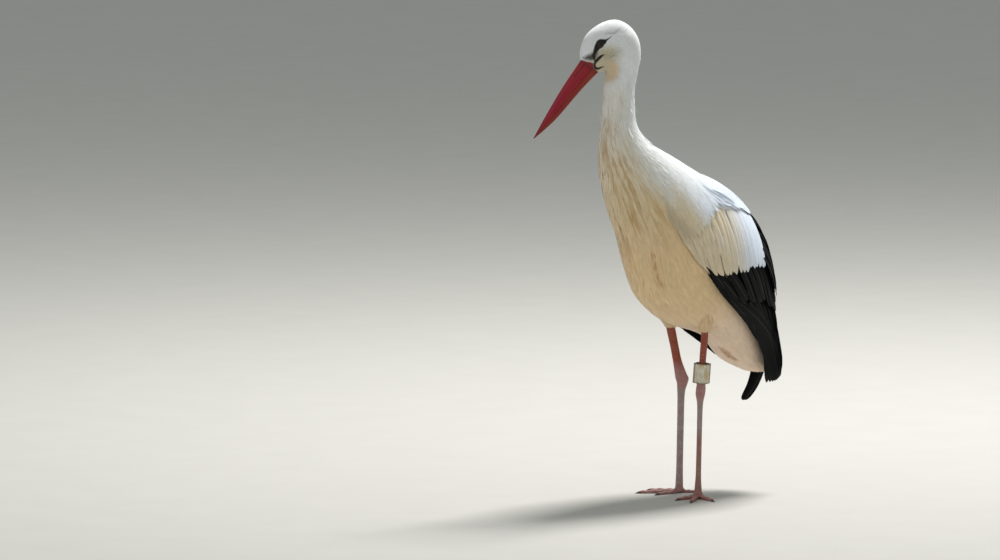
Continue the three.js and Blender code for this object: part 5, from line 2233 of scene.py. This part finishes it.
    def feathers(self, rng: np.random.Generator) -> MeshData:
        """The thigh's feathers: they point down the shin and end in loose points around it.

        Args:
            rng: The random numbers.

        Returns:
            The feathers' mesh.
        """
        form, count = self.thigh(), 700
        shape = VaneShape(6, 3, 0.5, 0.5, (1.4, 0.9), 0.05, 0.06)
        p, q = even_places(count)
        p = 0.22 + 0.48 * p**0.8
        _, along, _, normal = form.frame(p, q)
        flow = swayed(unit(along), normal, rng.normal(0, 0.12, count))
        length = read_off(p, (0.25, 42), (0.5, 31), (0.7, 16)) * rng.uniform(0.6, 1.35, count)
        path_p, path_q = form.lay(p, q, flow, length, shape.shares)
        centre, _, _, out = form.frame(path_p, path_q)
        rise = -2.0 * (1 - shape.shares) ** 1.2 + rng.uniform(0.0, 0.8, count)[:, None] * shape.shares**2
        tint = blend(MARKINGS.rosy, MARKINGS.pink, 0.3 * rng.random(count)) * 0.96
        width = read_off(p, (0.25, 3.8), (0.78, 2.6)) * rng.uniform(0.8, 1.15, count)
        home = np.stack([q % 1, 0.3 * p], -1)
        return shape.grow(centre, out, width, rise, tint, home, rng.normal(0, 0.15, count))


LEGS = {
    Side.LEFT: Leg(
        Side.LEFT, (-8, -42, 390), (-2, -41, 300), (-3, -31, 188), (-20, -42, 10), math.radians(-34), 0.42
    ),
    Side.RIGHT: Leg(
        Side.RIGHT, (-22, 42, 390), (-7, 40, 303), (13, 32, 203), (10, 34, 10), math.radians(38), 1.3
    ),
}


@dataclass
class Ring:
    """A plain plastic ring on the left shin: two half shells that meet in flat lips."""

    inner: float = 11.7
    outer: float = 13.15
    height: float = 36.0
    lift: float = 18.0
    turn: float = math.radians(-35)
    lip_reach: float = 15.5
    lip_half: float = 1.25
    parting: float = 0.12
    edge: float = 0.45

    def placed(self, points: Array) -> Array:
        """Points of the upright ring spun about its axis and leaned along the shin: for the axis u
        and w = z x u, a point v goes to v + w x v + w x (w x v) / (1 + u_z).

        Args:
            points: Places on the ring while it stands at the origin.

        Returns:
            Their places on the shin.
        """
        leg = LEGS[Side.LEFT]
        up = unit(np.array(leg.knee, float) - np.array(leg.ankle, float))
        cos, sin = math.cos(self.turn), math.sin(self.turn)
        x, y, z = np.moveaxis(points, -1, 0)
        points = np.stack([x * cos - y * sin, x * sin + y * cos, z], -1)
        lean = np.cross(np.array([0, 0, 1.0]), up)
        once = np.cross(lean, points)
        return points + once + np.cross(lean, once) / (1 + up[2]) + np.array(leg.ankle) + up * self.lift

    def half(self, way: int) -> MeshData:
        """One half shell with its two lips: a rounded rectangle between the inner and the outer
        radius, carried half way round, the outer radius going out to the lips at either end.

        Args:
            way: 1 for one half and -1 for the other.

        Returns:
            The closed half, nearly black in a band along each rim and darker along the lips, as colour.
        """
        gap, lip = self.parting / self.inner, self.lip_half / self.outer
        arc = np.linspace(lip + 0.02, math.pi - lip - 0.02, 100)
        ends = np.linspace(gap, lip, 5)
        angle = np.concatenate([ends, arc, math.pi - ends[::-1]])[:, None]
        outer = np.where(np.sin(angle) <= math.sin(lip) + 1e-9, self.lip_reach, self.outer)
        quarter, up = np.linspace(0, np.pi / 2, 6), np.linspace(-1, 1, 26)[1:-1]
        face = np.repeat([1.0, 1.0, -1.0], [24, 6, 6])
        side = np.concatenate([np.ones(24), np.cos(quarter), -np.sin(quarter)])
        wall = np.concatenate([up, np.ones(12)])
        high = np.concatenate([0 * up, np.sin(quarter), np.cos(quarter)])
        face, side, wall, high = (np.concatenate([v, -v]) for v in (face, side, wall, high))
        wide, tall = (outer - self.inner) / 2, self.height / 2
        radius = self.inner + wide + face * (wide - self.edge) + side * self.edge
        z = tall + wall * (tall - self.edge) + self.edge * high + 0 * angle
        points = np.stack([radius * np.cos(angle), way * radius * np.sin(angle), z], -1)
        # a nearly black band along the top and bottom rims
        rim = 1 - ramp(np.minimum(z, self.height - z), 1.2, 2.2)
        seam = (1 - ramp(np.sin(angle), 0.05, 0.2)) + 0 * z
        dirt = lattice_noise(angle * 3 + way, z * 0.25, 12)
        run = ramp(lattice_noise(angle * 5 + 3 * way + 0 * z, z * 0.06, 14), 0.55, 0.8)
        tint = painted(
            srgb(0.86, 0.84, 0.77), (srgb(0.76, 0.72, 0.62), 0.7 * dirt), (srgb(0.74, 0.62, 0.36), 0.6 * run),
            (srgb(0.13, 0.12, 0.12), 0.95 * rim * (0.75 + 0.25 * dirt)), (srgb(0.32, 0.28, 0.24), 0.6 * seam),
        )
        data = closed_tube(points, tint)
        data.verts = self.placed(data.verts)
        return outward(data)

    def build(self) -> MeshData:
        """Both halves."""
        return MeshData.join([self.half(1), self.half(-1)])


@dataclass(frozen=True)
class LegFinish:
    """Dry scaly skin, dull on the scales and a little darker between them."""

    name: str = "leg_skin"

    def material(self) -> bpy.types.Material:
        """The tint with fine wrinkles and chalky specks.

        Returns:
            The material.
        """
        g = Graph(self.name)
        fine, broad = g.noise(g.place(), 1600.0, 3.0), g.noise(g.place(), 240.0, 3.0)
        chalk = broad.ramp(0.55, 0.8)
        base = g.mix(chalk * 0.14, g.tint(), srgb(0.82, 0.76, 0.73))
        height = fine * 0.5 + g.cells(g.place(), 1500.0).ramp(0.0, 0.2) * 0.5
        rough = 0.5 + chalk * 0.2 + (fine - 0.5) * 0.15
        return g.done(Base_Color=base, Roughness=rough, Normal=g.bump(height, 0.00012, 0.6))


@dataclass(frozen=True)
class ClawFinish:
    """Dull dark horn with lengthwise scratches."""

    name: str = "claw_horn"

    def material(self) -> bpy.types.Material:
        """The tint with fine scratches.

        Returns:
            The material.
        """
        g = Graph(self.name)
        scratch = g.noise(g.place(), 1800.0, 4.0)
        base = g.mix(scratch.ramp(0.5, 0.75) * 0.3, g.tint(), srgb(0.55, 0.46, 0.40))
        return g.done(Base_Color=base, Roughness=0.42 + scratch * 0.2, Normal=g.bump(scratch, 0.0001, 0.5))


@dataclass(frozen=True)
class RingFinish:
    """Weathered cream plastic, scratched, grimy in patches and dark along the rims."""

    name: str = "ring_plastic"

    def material(self) -> bpy.types.Material:
        """The tint with grime in patches and fine scratches.

        Returns:
            The material.
        """
        g = Graph(self.name)
        grime, scratch = g.noise(g.place(), 260.0, 5.0), g.noise(g.stretched((3.0, 3.0, 0.5)), 900.0, 3.0)
        base = g.mix(grime.ramp(0.48, 0.75) * 0.35, g.tint(), srgb(0.52, 0.46, 0.38))
        base = g.mix(scratch.ramp(0.62, 0.7) * 0.25, base, srgb(0.95, 0.94, 0.90))
        rough = 0.42 + grime * 0.2 + scratch * 0.08
        return g.done(Base_Color=base, Roughness=rough, Normal=g.bump(scratch, 0.00008, 0.4))


# ---------------------------------------------------------------- the studio


@dataclass
class Studio:
    """The pale floor, the soft lights and the camera."""

    azimuth: float = -45.0
    elevation: float = 6.0
    distance: float = 20.0
    lens: float = 400.0
    aim: tuple[float, float] = (-0.340, 0.387)  # to the camera's right and up, in metres
    floor_radius: float = 60.0

    def axes(self) -> tuple[Array, Array, Array]:
        """The camera's right, up and back.

        Returns:
            Three ways of length 1.
        """
        az, el = math.radians(self.azimuth), math.radians(self.elevation)
        right = np.array([math.cos(az), math.sin(az), 0.0])
        back = np.array([math.sin(az) * math.cos(el), -math.cos(az) * math.cos(el), math.sin(el)])
        return right, np.cross(back, right), back

    def camera(self) -> None:
        """Adds the camera and makes it the scene's."""
        right, up, back = self.axes()
        data = bpy.data.cameras.new("camera")
        data.lens, data.sensor_width = self.lens, 36.0
        data.clip_start, data.clip_end = 0.1, 500.0
        target = self.aim[0] * right + self.aim[1] * up + STATION.shift * MM
        at = target + back * self.distance
        bpy.context.scene.camera = add_object("camera", data, (right, up, back), at)

    def floor(self) -> None:
        """Adds a wide round floor just under the feet: rings of points about the origin."""
        around, rings = 96, 8
        turn = turns(around)
        radius = self.floor_radius * np.linspace(0, 1, rings + 1)[1:, None]
        x, y = radius * np.cos(turn), radius * np.sin(turn)
        points = np.concatenate([np.zeros((1, 3)), np.stack([x, y, 0 * x], -1).reshape(-1, 3)])
        faces = []
        for a in range(around):
            b = (a + 1) % around
            faces.append((0, 1 + a, 1 + b))
            for low in range(1, 1 + (rings - 1) * around, around):
                high = low + around
                faces.append((low + a, high + a, high + b, low + b))
        mesh = bpy.data.meshes.new("floor")
        mesh.from_pydata(points.tolist(), [], faces)
        g = Graph("studio_floor")
        speck = g.noise(g.place(), 9.0, 3.0)
        base = g.mix(speck, srgb(0.72, 0.715, 0.70), srgb(0.745, 0.74, 0.725))
        mesh.materials.append(g.done(Base_Color=base, Roughness=0.9))
        floor = add_object("floor", mesh)

    def light(self, name: str, place: Array, size: float, power: float, colour: Colour) -> None:
        """Adds a square area light at a place, facing the bird's middle.

        Args:
            name: The light's name.
            place: Where it is: to the right, up and back from the bird's middle, in metres.
            size: Its side.
            power: Its power in watts.
            colour: Its colour.
        """
        right, _, back = self.axes()
        middle = STATION.to_frame(np.array([0.0, 0.0, 430.0]))
        level = unit(back * np.array([1, 1, 0]))
        at = middle + place[0] * right + place[1] * np.array([0, 0, 1.0]) + place[2] * level
        data = bpy.data.lights.new(name, "AREA")
        data.shape, data.size, data.energy, data.color = "SQUARE", size, power, colour
        away = unit(at - middle)
        side = unit(np.cross(np.array([0, 0, 1.0]), away))
        add_object(name, data, (side, np.cross(away, side), away), at)

    def build(self) -> None:
        """Sets the world, lights, floor and camera."""
        scene = bpy.context.scene
        scene.view_settings.view_transform = "Standard"
        world = bpy.data.worlds.new("studio")
        scene.world = world
        world.use_nodes = True
        background = world.node_tree.nodes["Background"]
        background.inputs["Color"].default_value = (0.95, 1.0, 0.98, 1.0)
        background.inputs["Strength"].default_value = 0.46
        self.light("key", np.array([1.0, 3.8, -1.6]), 1.2, 280.0, (1.0, 0.98, 0.95))
        self.light("fill", np.array([-2.6, 1.2, 3.0]), 0.7, 12.0, (1.0, 0.98, 0.95))
        self.floor()
        self.camera()


@dataclass
class Bird:
    """The whole bird, piece by piece in one order, so that its random numbers stay the same."""

    rng: np.random.Generator
    coat: BodyCoat
    white: bpy.types.Material
    down: bpy.types.Material
    black: bpy.types.Material

    def skin(self) -> None:
        """Adds the skin under the feathers."""
        skin = Skin()
        flesh = [skin.body(self.coat.depth)]
        for side in Side:
            flesh += [skin.arm(WINGS[side]), skin.limb(LEGS[side].thigh())]
        whole = MeshData.join([replace(part, uvs={}) for part in flesh])
        covered = ("head", "neck", "trunk", "tail", "thigh_left", "thigh_right")
        make_piece("skin", whole, SkinFinish().material(), covered)

    def body(self) -> None:
        """Adds the body's coat and the tail."""
        for name, data in self.coat.build(self.rng).items():
            small = name in ("coat_face", "coat_crown", "coat_neck")
            make_piece(name, data, self.down if small else self.white)
        make_piece("tail_quills", Tail().quills(self.rng), self.white)

    def wing(self, side: Side) -> None:
        """Adds one wing's coverts and flight feathers.

        Args:
            side: Which wing.
        """
        word, wing = side.word, PLUMAGE[side]
        shield = (f"wing_{word}_shield",)
        make_piece(f"coverts_{word}", wing.coverts(self.rng), self.white, shield)
        flight = (f"wing_{word}_secondaries", f"wing_{word}_primaries")
        make_piece(f"quills_{word}", wing.quills(self.rng), self.black, flight)

    def leg(self, side: Side, skin: bpy.types.Material, claw: bpy.types.Material) -> None:
        """Adds one leg with its feathers and claws.

        Args:
            side: Which leg.
            skin: The material of its skin.
            claw: The material of its claws.
        """
        word, leg = side.word, LEGS[side]
        make_piece(f"thigh_feathers_{word}", leg.feathers(self.rng), self.white)
        bare = tuple(f"{part}_{word}" for part in ("shank", "tarsus", "foot"))
        make_piece(f"leg_{word}", leg.skin(), skin, bare)
        for toe in leg.toes:
            node = f"claw_{word}_{toe.name}"
            make_piece(f"horn_{word}_{toe.name}", leg.claw(toe), claw, (node,))


def main() -> None:
    """Builds the bird in order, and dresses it."""
    logging.basicConfig(level=logging.INFO, format="%(message)s")
    white = FeatherFinish("white_feathers").material()
    down = FeatherFinish("small_feathers", barbs=14.0, barb_depth=0.0001, sheen=0.3).material()
    black = FeatherFinish(
        "black_feathers", roughness=0.6, sheen=0.0, specular=0.12, barb_depth=0.0002, barbs=130.0,
        shaft_light=0.15, edge_dark=0.0, mottle=0.0,
    ).material()
    bird = Bird(np.random.default_rng(SEED), BodyCoat(), white, down, black)
    bird.skin()
    bird.body()
    finishes = (EyeFinish(), HornFinish(), LegFinish(), ClawFinish(), SkinFinish("eyelid_skin"))
    eye, horn, leg_skin, claw, lids = (finish.material() for finish in finishes)
    for side in Side:
        bird.wing(side)
        head_eye = Eye(side)
        make_piece(f"eyeball_{side.word}", head_eye.ball(), eye, (f"eye_{side.word}",))
        make_piece(f"eyelids_{side.word}", head_eye.lids(), lids)
        bird.leg(side, leg_skin, claw)
    for half in Half:
        node = f"bill_{half.value}"
        make_piece(f"horn_{node}", Bill().mandible(half), horn, (node,))
    make_piece("ring", Ring().build(), RingFinish().material(), ("leg_ring",))
    Studio().build()


if __name__ == "__main__":
    main()
